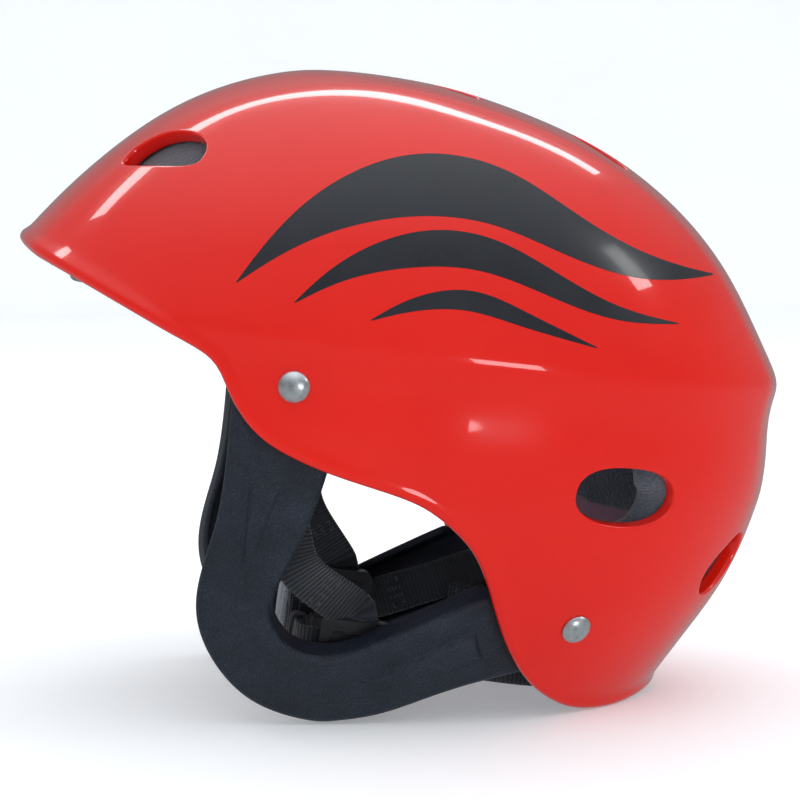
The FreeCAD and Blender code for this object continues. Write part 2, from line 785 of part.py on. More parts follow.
FRONT_STRAP_ROUTES = {
    # Y, height and depth below the skin, from the rivet down to the divider
    "left": [(-40.3, -10.0, 9.0), (-40.7, -19.0, 9.0), (-41.1, -27.5, 9.2), (-41.6, -38.0, 12.0),
             (-41.6, -50.0, 16.2), (-40.2, -66.0, 18.9), (-35.6, -80.0, 19.4), (-27.6, -92.0, 19.8)],
    "right": [(-40.3, -10.0, 9.0), (-40.7, -19.0, 9.0), (-39.9, -27.5, 9.2), (-38.2, -38.0, 12.6),
              (-35.4, -50.0, 17.6), (-31.4, -64.0, 19.2), (-26.6, -78.0, 19.4), (-20.8, -90.0, 19.8)],
}
REAR_STRAP_ROUTE = [(77.0, -90.6, 9.1), (69.0, -93.0, 9.1), (61.0, -96.0, 9.2), (49.5, -101.6, 12.8),
                    (37.5, -108.4, 17.4), (26.5, -113.2, 19.4)]


def route_point(knot, side):
    y, height, depth = knot
    return side_depth(y, height, depth, side)


def slot_line(place):
    """Start and direction, in the divider's own frame, of the line that an ear strap follows."""
    lean, y, height = SLOT_LINES[place]
    turn = math.radians(lean)
    if place == "front":
        return Vector(0, y, height), Vector(0, -math.sin(turn), math.cos(turn))
    return Vector(0, y, height), Vector(0, math.cos(turn), math.sin(turn))


def slot_point(place, reach, side):
    """A point on an ear strap's line through the divider."""
    start, direction = slot_line(place)
    point = DIVIDER_PLACE + start + direction * reach
    return Vector((point.x + dim("slot_offset")) * side, point.y, point.z)


def make_ear_straps():
    """The V of webbing on each side, held by the rivets and the divider."""
    for name, side in SIDES.items():
        for place, route in (("front", FRONT_STRAP_ROUTES[name]), ("rear", REAR_STRAP_ROUTE)):
            knots = [route_point(knot, side) for knot in route]
            knots += [slot_point(place, reach, side) for reach in SLOT_REACHES]
            points = dense(knots, 60)
            normals = [side_spot(y, height, side)[1] for y, height, _ in route]
            normals += [Vector(side, 0, 0)] * len(SLOT_REACHES)
            facing = blend_directions(normals, knots, points)
            across = []
            for i, face in enumerate(facing):
                tangent = points[min(i + 1, len(points) - 1)] - points[max(i - 1, 0)]
                across.append(tangent.cross(face))
            strap = ribbon(points, across, dim("web_width"), dim("web_thickness"))
            feature(f"{name}_{place}_strap", strap.cut(rivet_bores(side)))


def flat_strap(name, corners, height):
    """A strap standing on edge along a level route of straight runs and tangent arcs."""
    edges = []
    here = Vector(*corners[0][:2], height)
    for (x, y, radius), (next_x, next_y, _) in zip(corners[1:], corners[2:]):
        corner = Vector(x, y, height)
        before = here - corner
        after = Vector(next_x, next_y, height) - corner
        before.normalize()
        after.normalize()
        half_turn = math.acos(max(-1.0, min(1.0, before.dot(after)))) / 2
        reach = radius / math.tan(half_turn)
        middle = before + after
        middle.normalize()
        apex = corner + middle * (radius / math.sin(half_turn) - radius)
        edges.append(Part.makeLine(here, corner + before * reach))
        edges.append(Part.Arc(corner + before * reach, apex, corner + after * reach).toShape())
        here = corner + after * reach
    edges.append(Part.makeLine(here, Vector(*corners[-1][:2], height)))
    band = Part.Wire(edges).makeOffset2D(dim("web_thickness") / 2, 0, True, False, False)
    strap = band.extrude(Vector(0, 0, dim("web_width")))
    strap.translate(Vector(0, 0, -dim("web_width") / 2))
    feature(name, strap)


def bend_radius(line):
    """Corner radius that starts at the divider's front face and ends on a strap's line."""
    return DIVIDER_PLACE.y - dim("divider_length") / 2 - line


def bar_faces():
    """Y of the strap's middle in front of and behind a buckle bar."""
    reach = dim("bar_width") / 2 + dim("bar_clearance") + dim("web_thickness") / 2
    return CHIN_LINE[0] - reach, CHIN_LINE[0] + reach


def sewn_faces():
    """Y of the two layers of the right strap where they are sewn together."""
    step = (dim("web_thickness") + dim("layer_gap") / 2) / 2
    return CHIN_LINE[0] - step, CHIN_LINE[0] + step


FOLD_TRIM = 0.01                 # keeps the fold round a bar just under a full half turn
PARTING_GAP = 1.1                # from the socket's bar to where its two layers part
JOINING_GAP = 2.0                # from the sewn layers' end to where they start to part


def make_chin_straps():
    """Left strap round the plug's bar with its loose tail; right strap sewn to the socket's bar."""
    front, rear = bar_faces()
    fold = (rear - front) / 2 - FOLD_TRIM
    corner_x = DIVIDER_PLACE.x - dim("slot_offset")
    start = DIVIDER_PLACE.y - dim("divider_length") / 2 + CHIN_STRAP_INSERT

    bar = plug_bar_x()
    tail = front + dim("web_thickness") + dim("layer_gap")
    flat_strap("left_chin_strap", [
        (corner_x, start, 0), (corner_x, front, bend_radius(front)), (bar - fold, front, fold),
        (bar - fold, rear, fold), (bar + TAIL_START / 2, rear, EASE), (bar + TAIL_START, tail, EASE),
        (bar + TAIL_LENGTH, tail, 0),
    ], CHIN_LINE[1])

    bar = socket_bar_x()
    live, back = sewn_faces()
    parting = bar - dim("bar_width") / 2 - PARTING_GAP
    joined = bar - SEWN_LENGTH + JOINING_GAP
    flat_strap("right_chin_strap", [
        (-corner_x, start, 0), (-corner_x, live, bend_radius(live)), (joined, live, EASE),
        (parting, front, EASE / 2), (bar + fold, front, fold), (bar + fold, rear, fold),
        (parting, rear, EASE / 2), (joined, back, EASE), (bar - SEWN_LENGTH, back, 0),
    ], CHIN_LINE[1])


# ---------------------------------------------------------------- strap dividers

def make_dividers():
    """The moulded piece that joins two ear straps and the chin strap on each side."""
    thin = "Dims.web_thickness + 2 * Dims.slot_clearance"
    wide = "Dims.web_width + 2 * Dims.slot_clearance"
    half_height = "Dims.divider_height / 2"
    half_length = "Dims.divider_length / 2"
    for name, side in SIDES.items():
        body = doc.addObject("PartDesign::Body", f"Divider_{name}")
        plate = rectangle(body, f"divider_plate_{name}", "YZ_Plane", "Dims.divider_length",
                          "Dims.divider_height")
        pad(body, plate, "Dims.divider_thickness", "Symmetric")
        rounded(body, "Dims.divider_height * 0.16", along_axis(0))
        outer = f"{side} * Dims.slot_offset"
        inner = f"{-side} * Dims.slot_offset"
        chin = rectangle(body, f"divider_chin_slot_{name}", "XZ_Plane", thin, wide,
                         (inner, "", half_length))
        pocket(body, chin, "2 * Dims.slot_depth")
        lean, crossing, _ = SLOT_LINES["front"]
        fall = math.tan(math.radians(lean))
        top = rectangle(body, f"divider_front_slot_{name}", "XY_Plane", thin, wide,
                        (outer, f"{crossing} - {half_height} * {fall}", half_height))
        lean_sketch(top, lean)
        pocket(body, top, "2 * Dims.slot_depth")
        lean, _, crossing = SLOT_LINES["rear"]
        rise = math.tan(math.radians(lean))
        back = rectangle(body, f"divider_rear_slot_{name}", "XZ_Plane", thin, wide,
                         (outer, f"{crossing} + {half_length} * {rise}", f"-{half_length}"))
        lean_sketch(back, lean)
        pocket(body, back, "2 * Dims.slot_depth")
        place = Placement(Vector(DIVIDER_PLACE.x * side, DIVIDER_PLACE.y, DIVIDER_PLACE.z), Rotation())
        keep_body(body, f"{name}_strap_divider", place)


def lean_sketch(sketch, angle):
    """Turn an attached sketch about its own X axis."""
    sketch.AttachmentOffset = Placement(sketch.AttachmentOffset.Base, Rotation(Vector(1, 0, 0), angle))


# ---------------------------------------------------------------- side-release buckle

def socket_bar_x():
    """X of the middle of the socket's webbing bar."""
    return BUCKLE_MOUTH - dim("socket_length") - dim("web_slot") - dim("bar_width") / 2


def plug_bar_x():
    """X of the middle of the plug's webbing bar."""
    return (BUCKLE_MOUTH + dim("slot_clearance") + dim("plug_base") + dim("web_slot")
            + dim("bar_width") / 2)


def buckle_place():
    return Placement(Vector(BUCKLE_MOUTH, CHIN_LINE[0], CHIN_LINE[1]), Rotation())


def make_socket():
    body = doc.addObject("PartDesign::Body", "Socket")
    case = rectangle(body, "socket_case", "XZ_Plane", "Dims.socket_length", "Dims.buckle_width",
                     ("-Dims.socket_length / 2", "", ""))
    pad(body, case, "Dims.buckle_thickness", "Symmetric")
    rounded(body, "Dims.buckle_width * 0.12", along_axis(1))
    reach = "(Dims.web_slot + Dims.bar_width)"
    frame = rectangle(body, "socket_loop", "XZ_Plane", f"{reach} + Dims.bar_width", "Dims.buckle_width - 2",
                      (f"-Dims.socket_length - {reach} / 2 + Dims.bar_width / 2", "", ""))
    pad(body, frame, "Dims.bar_width", "Symmetric")
    slot = rectangle(body, "socket_web_slot", "XZ_Plane", "Dims.web_slot",
                     "Dims.web_width + 2 * Dims.slot_clearance",
                     ("-Dims.socket_length - Dims.web_slot / 2", "", ""))
    pocket(body, slot, "4 * Dims.bar_width")
    wall = "2 * Dims.buckle_wall"
    cavity = rectangle(body, "socket_cavity", "YZ_Plane", f"Dims.buckle_thickness - {wall}",
                       f"Dims.buckle_width - {wall}")
    pocket(body, cavity, "2 * Dims.socket_cavity")
    window = rectangle(body, "socket_windows", "XY_Plane", "Dims.window_length",
                       f"Dims.buckle_thickness - {wall}",
                       ("-Dims.prong_length + Dims.window_length / 2 - 1", "", ""))
    pocket(body, window, "2 * Dims.buckle_width")
    keep_body(body, "buckle_socket", buckle_place())


def make_plug():
    body = doc.addObject("PartDesign::Body", "Plug")
    gap = "Dims.slot_clearance"
    base = rectangle(body, "plug_base", "XZ_Plane", "Dims.plug_base", "Dims.buckle_width",
                     (f"{gap} + Dims.plug_base / 2", "", ""))
    pad(body, base, "Dims.buckle_thickness - 1", "Symmetric")
    rounded(body, "Dims.buckle_wall * 0.8", along_axis(1))
    loop = "(Dims.web_slot + Dims.bar_width)"
    frame = rectangle(body, "plug_loop", "XZ_Plane", f"{loop} + Dims.plug_base",
                      "Dims.buckle_width - 1", (f"{gap} + Dims.plug_base / 2 + {loop} / 2", "", ""))
    pad(body, frame, "Dims.bar_width", "Symmetric")
    slot = rectangle(body, "plug_web_slot", "XZ_Plane", "Dims.web_slot",
                     "Dims.web_width + 2 * Dims.slot_clearance",
                     (f"{gap} + Dims.plug_base + Dims.web_slot / 2", "", ""))
    pocket(body, slot, "4 * Dims.bar_width")
    tongue = rectangle(body, "plug_tongue", "XZ_Plane", "Dims.tongue_length + 1", "Dims.tongue_width",
                       (f"{gap} + 1 - (Dims.tongue_length + 1) / 2", "", ""))
    pad(body, tongue, "Dims.buckle_thickness - 2 * Dims.buckle_wall - 2 * Dims.prong_gap", "Symmetric")
    keep_body(body, "buckle_plug", buckle_place())


def make_prongs():
    """The two latching arms, each with the button that fills the socket's side window."""
    for name, sign in (("upper", ""), ("lower", "-")):
        body = doc.addObject("PartDesign::Body", f"Prong_{name}")
        offset = f"{sign}(Dims.buckle_width / 2 - Dims.buckle_wall - Dims.prong_gap - Dims.prong_width / 2)"
        deep = "Dims.buckle_thickness - 2 * Dims.buckle_wall - 2 * Dims.prong_gap"
        arm = rectangle(body, f"prong_arm_{name}", "XZ_Plane", "Dims.prong_length", "Dims.prong_width",
                        ("-Dims.prong_length / 2", offset, ""))
        pad(body, arm, deep, "Symmetric")
        button = "(Dims.window_length - 4 * Dims.prong_gap)"
        rise = "(Dims.buckle_wall + Dims.prong_gap)"
        place = f"{sign}(Dims.buckle_width / 2 - {rise} / 2 - Dims.prong_width / 4)"
        knob = rectangle(body, f"prong_button_{name}", "XZ_Plane", button,
                         f"{rise} + Dims.prong_width / 2",
                         ("-Dims.prong_length + Dims.window_length / 2 - 1", place, ""))
        pad(body, knob, deep, "Symmetric")
        keep_body(body, f"buckle_{name}_prong", buckle_place())


# ---------------------------------------------------------------- pad, keeper and nape strap

def make_chin_pad():
    """Soft sleeve on the chin strap; its tunnel clears the single layer of webbing."""
    body = doc.addObject("PartDesign::Body", "ChinPad")
    sleeve = rectangle(body, "chin_pad_side", "YZ_Plane", "Dims.chin_pad_depth", "Dims.chin_pad_height")
    pad(body, sleeve, "Dims.chin_pad_length", "Symmetric")
    rounded(body, "Dims.chin_pad_depth * 0.3", along_axis(0))
    tunnel = rectangle(body, "chin_pad_tunnel", "YZ_Plane", "Dims.web_thickness + 0.8",
                       "Dims.web_width + 1")
    pocket(body, tunnel, "2 * Dims.chin_pad_length")
    bend_end = bend_radius(sewn_faces()[0]) + dim("slot_offset") - DIVIDER_PLACE.x
    middle = bend_end + CHIN_PAD_TRAVEL + dim("chin_pad_length") / 2
    keep_body(body, "chin_pad", Placement(Vector(middle, sewn_faces()[0], CHIN_LINE[1]), Rotation()))


def make_keeper():
    """Elastic loop that holds the strap's tail against the strap."""
    body = doc.addObject("PartDesign::Body", "Keeper")
    inner_y = "(2 * Dims.web_thickness + 0.9)"
    inner_z = "(Dims.web_width + 0.6)"
    ring = rectangle(body, "keeper_ring", "YZ_Plane", f"{inner_y} + 2 * Dims.keeper_wall",
                     f"{inner_z} + 2 * Dims.keeper_wall")
    pad(body, ring, "Dims.keeper_length", "Symmetric")
    rounded(body, "Dims.keeper_wall * 0.9", along_axis(0))
    pocket(body, rectangle(body, "keeper_bore", "YZ_Plane", inner_y, inner_z), "2 * Dims.keeper_length")
    middle = bar_faces()[0] + (dim("web_thickness") + dim("layer_gap")) / 2
    place = Vector(plug_bar_x() + KEEPER_START + dim("keeper_length") / 2, middle, CHIN_LINE[1])
    keep_body(body, "strap_keeper", Placement(place, Rotation()))


def make_nape_strap():
    """Webbing round the back of the neck, from one rear strap to the other."""
    mirrored = [(-x, y, radius) for x, y, radius in reversed(NAPE_CORNERS)]
    flat_strap("nape_strap", NAPE_CORNERS + mirrored, NAPE_STRAP_HEIGHT)


def make_adjuster():
    """Three-bar slide in the middle of the nape strap."""
    body = doc.addObject("PartDesign::Body", "Adjuster")
    inner_y = "(Dims.web_thickness + 0.8)"
    inner_z = "(Dims.web_width + 0.8)"
    block = rectangle(body, "adjuster_block", "XZ_Plane", "Dims.adjuster_length", "Dims.adjuster_height")
    pad(body, block, f"{inner_y} + Dims.adjuster_thickness", "Symmetric")
    rounded(body, "Dims.adjuster_height * 0.15", along_axis(1))
    pocket(body, rectangle(body, "adjuster_tunnel", "YZ_Plane", inner_y, inner_z),
           "2 * Dims.adjuster_length")
    window = rectangle(body, "adjuster_window", "XZ_Plane", "Dims.adjuster_length * 0.25",
                       "Dims.web_width")
    pocket(body, window, "4 * Dims.adjuster_thickness")
    back = Vector(0, NAPE_CORNERS[-1][1], NAPE_STRAP_HEIGHT)
    keep_body(body, "nape_adjuster", Placement(back, Rotation()))


# ---------------------------------------------------------------- build, check and write

make_rivets()
make_ear_straps()
make_dividers()
make_socket()
make_plug()
make_prongs()
make_chin_straps()
make_chin_pad()
make_keeper()
make_nape_strap()
make_adjuster()
make_shell()
make_liner()
make_guards()
doc.recompute()

for item in doc.Objects:
    if "Invalid" in item.State or "Error" in item.State:
        raise RuntimeError(f"{item.Name} failed: {item.State}")
for item in KEPT:
    if item.Shape.isNull() or not item.Shape.isValid():
        raise RuntimeError(f"{item.Label} has no valid shape")
for item in KEPT:
    item.Shape.exportStep(f"parts/{item.Label}.step")
    print(f"{item.Label:24s} {len(item.Shape.Solids)} solids {item.Shape.Volume / 1000:9.2f} cm3")
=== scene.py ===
import bmesh
import bpy
import math
import numpy as np
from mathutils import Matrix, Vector

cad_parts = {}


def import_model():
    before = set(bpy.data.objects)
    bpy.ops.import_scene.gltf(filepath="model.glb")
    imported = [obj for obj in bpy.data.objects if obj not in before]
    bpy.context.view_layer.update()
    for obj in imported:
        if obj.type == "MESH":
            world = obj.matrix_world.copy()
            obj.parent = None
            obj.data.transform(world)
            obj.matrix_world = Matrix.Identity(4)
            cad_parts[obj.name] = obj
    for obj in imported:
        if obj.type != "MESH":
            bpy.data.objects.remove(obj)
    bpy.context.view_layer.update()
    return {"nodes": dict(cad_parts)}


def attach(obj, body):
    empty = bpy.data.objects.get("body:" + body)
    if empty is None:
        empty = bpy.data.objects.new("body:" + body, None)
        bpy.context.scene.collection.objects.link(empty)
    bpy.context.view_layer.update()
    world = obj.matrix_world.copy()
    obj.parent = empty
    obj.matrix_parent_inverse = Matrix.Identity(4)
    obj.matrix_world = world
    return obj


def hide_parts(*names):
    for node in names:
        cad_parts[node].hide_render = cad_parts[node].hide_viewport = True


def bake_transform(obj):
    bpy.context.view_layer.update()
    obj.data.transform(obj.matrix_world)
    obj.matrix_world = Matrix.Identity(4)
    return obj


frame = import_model()

# Water helmet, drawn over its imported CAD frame.  Shapes are worked out in millimetres in the
# helmet's own upright frame (X the wearer's left, Y the rear, Z up from the belt line) and set
# down once by world(), which tips the helmet back onto its ear guards and turns it to metres.

TIP_BACK = math.radians(7.5)
STAND_HEIGHT = 135.0
MM = 0.001
SIDES = {"left": 1.0, "right": -1.0}
UP = np.array([0.0, 0.0, 1.0])


def mirror(side):
    """Factors that put a left-hand point on the given side."""
    return np.array([side, 1.0, 1.0])


def world(points):
    """Points of the helmet's own frame in millimetres, as row-frame metres."""
    p = np.asarray(points, float)
    y = p[..., 1] * math.cos(TIP_BACK) + p[..., 2] * math.sin(TIP_BACK)
    z = p[..., 2] * math.cos(TIP_BACK) - p[..., 1] * math.sin(TIP_BACK) + STAND_HEIGHT
    return np.stack([p[..., 0], y, np.maximum(z, 0.0)], -1) * MM


def upright(points):
    """Row-frame metres back in the helmet's own frame."""
    p = np.asarray(points, float) / MM
    z = p[..., 2] - STAND_HEIGHT
    v = p[..., 1] * math.cos(TIP_BACK) - z * math.sin(TIP_BACK)
    w = p[..., 1] * math.sin(TIP_BACK) + z * math.cos(TIP_BACK)
    return np.stack([p[..., 0], v, w], -1)


# ---------------------------------------------------------------- the head form surface

# Level curves from crown to hem: height, centre along Y, half length, half width, squareness.
CROWN_TO_HEM = np.array([
    (91.8, -21.6, 0.0, 0.0, 2.00),
    (90.7, -19.9, 23.0, 20.2, 2.00),
    (87.9, -17.6, 38.8, 35.9, 2.00),
    (83.0, -14.2, 56.2, 50.1, 2.03),
    (75.7, -10.5, 74.5, 64.0, 2.08),
    (65.7, -8.0, 91.5, 76.0, 2.12),
    (52.9, -6.1, 107.3, 86.5, 2.16),
    (38.2, -5.5, 121.3, 94.6, 2.20),
    (23.5, -5.8, 132.3, 100.4, 2.20),
    (10.3, -6.1, 141.1, 104.3, 2.20),
    (2.5, -6.0, 145.8, 106.2, 2.20),
    (-3.0, -5.9, 147.5, 107.3, 2.20),
    (-9.0, -5.5, 146.3, 106.6, 2.20),
    (-18.0, -5.1, 145.5, 106.0, 2.20),
    (-31.0, -4.9, 146.5, 106.4, 2.20),
    (-42.0, -5.2, 146.6, 106.1, 2.20),
    (-49.0, -5.9, 146.1, 104.9, 2.20),
    (-60.0, -6.9, 144.7, 102.2, 2.20),
    (-78.0, -9.9, 141.9, 97.2, 2.20),
    (-97.0, -13.9, 135.8, 91.6, 2.20),
    (-115.0, -17.9, 129.8, 85.6, 2.20),
    (-133.0, -21.9, 125.0, 79.6, 2.20),
    (-160.0, -27.9, 121.5, 70.6, 2.20),
    (-190.0, -34.0, 117.5, 60.9, 2.20),
])
PARITY = (1, 1, -1, -1, 1)
LAST_LEVEL = 21.6
RIDGE_SPREAD = 46.0
RIDGE_HEIGHT = 1.4
RIDGE_FLANK = 13.0
RIDGE_ROUND = 3.5
RIDGE_END = -30.0
RIDGE_BLEND = 8.0
SHELL_WALL = 4.0


def control_columns(passes):
    """B-spline control values of the table's columns, mirrored over the crown."""
    columns = []
    for k, parity in enumerate(PARITY):
        c = CROWN_TO_HEM[:, k].copy()
        for _ in range(passes if k in (2, 3) else 0):
            c[6:-1] = 0.25 * c[5:-2] + 0.5 * c[6:-1] + 0.25 * c[7:]
        run = np.concatenate([[parity * c[2], parity * c[1]], c,
                              [2 * c[-1] - c[-2], 3 * c[-1] - 2 * c[-2]]])
        run[1:-1] -= (run[:-2] - 2 * run[1:-1] + run[2:]) / 6
        columns.append(run)
    return columns


OUTER = control_columns(0)
INNER = control_columns(3)


def column_value(column, level):
    i = np.clip(np.floor(level).astype(int), 0, len(CROWN_TO_HEM) - 1)
    u = level - i
    last = len(column) - 1
    b = ((1 - u) ** 3, 3 * u ** 3 - 6 * u ** 2 + 4, -3 * u ** 3 + 3 * u ** 2 + 3 * u + 1, u ** 3)
    return sum(b[k] * column[np.minimum(i + 1 + k, last)] for k in range(4)) / 6


def spow(value, power):
    return np.sign(value) * np.abs(value) ** power


def form(angle, level, columns=OUTER):
    """The plain form: angle 0 is the rear, a quarter turn the wearer's left."""
    height, centre, long, wide, square = (column_value(c, level) for c in columns)
    x = wide * spow(np.sin(angle), 2 / square)
    y = centre + long * spow(np.cos(angle), 2 / square)
    return np.stack([x, y, height], -1)


def form_normal(angle, level, columns=OUTER):
    step = 1e-3
    level = np.maximum(level, 0.02)
    around = form(angle + step, level, columns) - form(angle - step, level, columns)
    down = form(angle, level + step, columns) - form(angle, level - step, columns)
    normal = np.cross(around, down)
    normal /= np.linalg.norm(normal, axis=-1, keepdims=True)
    outward = form(angle, level, columns) - np.array([0.0, -3.0, -20.0])
    return normal * np.sign((normal * outward).sum(-1, keepdims=True))


def ridge_rise(p):
    side = np.abs(p[..., 0]) - RIDGE_SPREAD
    flank = np.sqrt(side * side + RIDGE_ROUND ** 2) - RIDGE_ROUND
    fade = 1 / (1 + np.exp(-(p[..., 2] - RIDGE_END) / RIDGE_BLEND))
    return RIDGE_HEIGHT * np.exp(-flank / RIDGE_FLANK) * fade


def outer_skin(angle, level, rise=0.0):
    """The shell's outer face, with its two crown ridges, raised by rise."""
    p = form(angle, level)
    lift = ridge_rise(p) + rise
    return p + form_normal(angle, level) * np.asarray(lift)[..., None]


def inner_skin(angle, level, depth):
    """A face at a depth under the shell's outer face."""
    return form(angle, level, INNER) - form_normal(angle, level, INNER) * np.asarray(depth)[..., None]


LEVEL_TABLE = np.linspace(0.0, LAST_LEVEL, 4000)
HEIGHT_TABLE = column_value(OUTER[0], LEVEL_TABLE)


def level_at(height):
    return np.interp(height, HEIGHT_TABLE[::-1], LEVEL_TABLE[::-1])


def side_spot(y, height):
    """Angle and level of the +X side's point seen from the side at (y, height)."""
    level = level_at(height)
    centre, long, _, square = (column_value(c, level) for c in OUTER[1:])
    along = np.clip((y - centre) / long, -1, 1)
    across = (1 - np.abs(along) ** square) ** (1 / square)
    return np.arctan2(spow(across, square / 2), spow(along, square / 2)), level


def rear_spot(x, height):
    """Angle and level of the rear's point at (x, height)."""
    level = level_at(height)
    wide, square = column_value(OUTER[3], level), column_value(OUTER[4], level)
    across = np.abs(x) / wide
    along = (1 - across ** square) ** (1 / square)
    return np.arctan2(spow(across, square / 2), along ** (square / 2)), level


def top_spot(x, y):
    """Angle and level of the crown's point seen from above at (x, y)."""
    low, high = np.full(np.shape(x), 0.05), np.full(np.shape(x), 11.0)
    for _ in range(40):
        middle = (low + high) / 2
        centre, long, wide, square = (column_value(c, middle) for c in OUTER[1:])
        outside = np.abs(x / wide) ** square + np.abs((y - centre) / long) ** square > 1
        low, high = np.where(outside, middle, low), np.where(outside, high, middle)
    centre, long, wide, square = (column_value(c, low) for c in OUTER[1:])
    return np.arctan2(spow(x / wide, square / 2), spow((y - centre) / long, square / 2)), low


def under_side(y, height, depth, side=1.0):
    """A point at a depth below the plain form, and the outward normal there."""
    angle, level = side_spot(np.asarray(y, float), np.asarray(height, float))
    normal = form_normal(angle, level)
    point = form(angle, level) - normal * np.asarray(depth, float)[..., None]
    return point * mirror(side), normal * mirror(side)


# ---------------------------------------------------------------- curves and mesh helpers

def smooth_curve(knots, places):
    """Points of the open cubic spline through knots, at places counted in knots."""
    knots = np.asarray(knots, float)
    n = len(knots)
    matrix = np.zeros((n, n))
    for i in range(n):
        matrix[i, i] = 4.0
        for k in (i - 1, i + 1):
            if 0 <= k < n:
                matrix[i, k] = 1.0
    right = 6 * (np.roll(knots, -1, 0) - 2 * knots + np.roll(knots, 1, 0))
    right[0] = right[-1] = 0.0
    matrix[0, 1] = matrix[-1, -2] = 0.0
    bend = np.linalg.solve(matrix, right)
    places = np.asarray(places, float)
    i = np.clip(np.floor(places).astype(int), 0, n - 2)
    u = (places - i)[:, None]
    j = i + 1
    return ((1 - u) * knots[i] + u * knots[j]
            + ((1 - u) ** 3 - (1 - u)) * bend[i] / 6 + (u ** 3 - u) * bend[j] / 6)


def evenly(points, count):
    """The same open line with count points at equal distances."""
    points = np.asarray(points, float)
    run = np.concatenate([[0], np.cumsum(np.linalg.norm(np.diff(points, axis=0), axis=1))])
    at = np.linspace(0, run[-1], count)
    return np.stack([np.interp(at, run, points[:, k]) for k in range(points.shape[1])], -1)


def through(knots, count):
    """A smooth line through knots with count evenly spaced points."""
    return evenly(smooth_curve(knots, np.linspace(0, len(knots) - 1, 12 * len(knots))), count)


def unit(vectors):
    vectors = np.asarray(vectors, float)
    return vectors / np.linalg.norm(vectors, axis=-1, keepdims=True)


def tangents(points):
    return unit(np.gradient(np.asarray(points, float), axis=0))


def ease(t):
    t = np.clip(t, 0.0, 1.0)
    return t * t * (3 - 2 * t)


def new_piece(name, points, faces, body, slot, materials, uvs=None, slots=None):
    """A mesh piece in helmet millimetres, set down in the row frame and riding on a body."""
    mesh = bpy.data.meshes.new(name)
    mesh.from_pydata(world(points).tolist(), [], [list(map(int, f)) for f in faces])
    mesh.validate()
    work = bmesh.new()
    work.from_mesh(mesh)
    bmesh.ops.recalc_face_normals(work, faces=work.faces)
    work.to_mesh(mesh)
    work.free()
    if uvs is not None:
        layer = mesh.uv_layers.new(name="UVMap")
        corner = np.zeros(len(mesh.loops), np.int32)
        mesh.loops.foreach_get("vertex_index", corner)
        layer.data.foreach_set("uv", np.asarray(uvs, np.float32)[corner].ravel())
    for item in materials:
        mesh.materials.append(item)
    if slots is not None:
        mesh.polygons.foreach_set("material_index", np.asarray(slots, np.int32))
    mesh.polygons.foreach_set("use_smooth", [True] * len(mesh.polygons))
    piece = bpy.data.objects.new(name, mesh)
    bpy.context.scene.collection.objects.link(piece)
    if body:
        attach(piece, body)
    return piece


def grid_faces(rows, columns, start=0, wrap_rows=False, wrap_columns=False):
    """Quads of a rows by columns sheet of points numbered from start."""
    faces = []
    for i in range(rows if wrap_rows else rows - 1):
        for j in range(columns if wrap_columns else columns - 1):
            a, b = i * columns, ((i + 1) % rows) * columns
            k = (j + 1) % columns
            faces.append((start + a + j, start + a + k, start + b + k, start + b + j))
    return faces


def fan(ring, centre):
    return [(ring[i], ring[(i + 1) % len(ring)], centre) for i in range(len(ring))]


def capped_tube(rows, columns):
    """Faces of a tube of rings with its two end faces."""
    ends = [tuple(range(columns)), tuple(range((rows - 1) * columns, rows * columns))]
    return grid_faces(rows, columns, wrap_columns=True) + ends


def spokes(first, second, count):
    """Directions all round, starting at the first and turning towards the second."""
    turn = 2 * math.pi * np.arange(count) / count
    return np.cos(turn)[:, None] * first + np.sin(turn)[:, None] * second


# ---------------------------------------------------------------- materials

def srgb(red, green, blue):
    """An 8-bit screen colour as linear light."""
    return tuple((c / 255 / 12.92) if c < 11 else ((c / 255 + 0.055) / 1.055) ** 2.4
                 for c in (red, green, blue)) + (1.0,)


class Shader:
    """A Principled material and the nodes that feed it."""

    def __init__(self, name, **values):
        self.material = bpy.data.materials.new(name)
        self.material.use_nodes = True
        self.tree = self.material.node_tree
        self.main = self.tree.nodes["Principled BSDF"]
        for socket, value in values.items():
            self.main.inputs[socket.replace("_", " ")].default_value = value

    def node(self, kind, inputs=None, **settings):
        node = self.tree.nodes.new(kind)
        for key, value in settings.items():
            setattr(node, key, value)
        for key, value in (inputs or {}).items():
            if isinstance(value, bpy.types.NodeSocket):
                self.tree.links.new(value, node.inputs[key])
            else:
                node.inputs[key].default_value = value
        return node

    def place(self, kind="Object"):
        return self.node("ShaderNodeTexCoord").outputs[kind]

    def noise(self, place, scale, detail=3.0, roughness=0.55, distortion=0.0):
        node = self.node("ShaderNodeTexNoise", {"Vector": place, "Scale": scale, "Detail": detail,
                                                "Roughness": roughness, "Distortion": distortion})
        return node.outputs["Fac"]

    def ramp(self, fac, stops):
        node = self.node("ShaderNodeValToRGB", {"Fac": fac})
        elements = node.color_ramp.elements
        while len(elements) < len(stops):
            elements.new(0.5)
        for element, (at, colour) in zip(elements, stops):
            element.position = at
            element.color = colour
        return node.outputs["Color"]

    def remap(self, value, low, high, to_low, to_high):
        node = self.node("ShaderNodeMapRange", {"Value": value, "From Min": low, "From Max": high,
                                                "To Min": to_low, "To Max": to_high})
        return node.outputs["Result"]

    def maths(self, operation, a, b=0.0):
        return self.node("ShaderNodeMath", {0: a, 1: b}, operation=operation).outputs[0]

    def mix(self, fac, a, b):
        return self.node("ShaderNodeMix", {0: fac, 6: a, 7: b}, data_type="RGBA").outputs[2]

    def bump(self, height, strength, distance, under=None):
        inputs = {"Height": height, "Strength": strength, "Distance": distance}
        if under is not None:
            inputs["Normal"] = under
        return self.node("ShaderNodeBump", inputs).outputs["Normal"]

    def feed(self, socket, value):
        self.tree.links.new(value, self.main.inputs[socket])


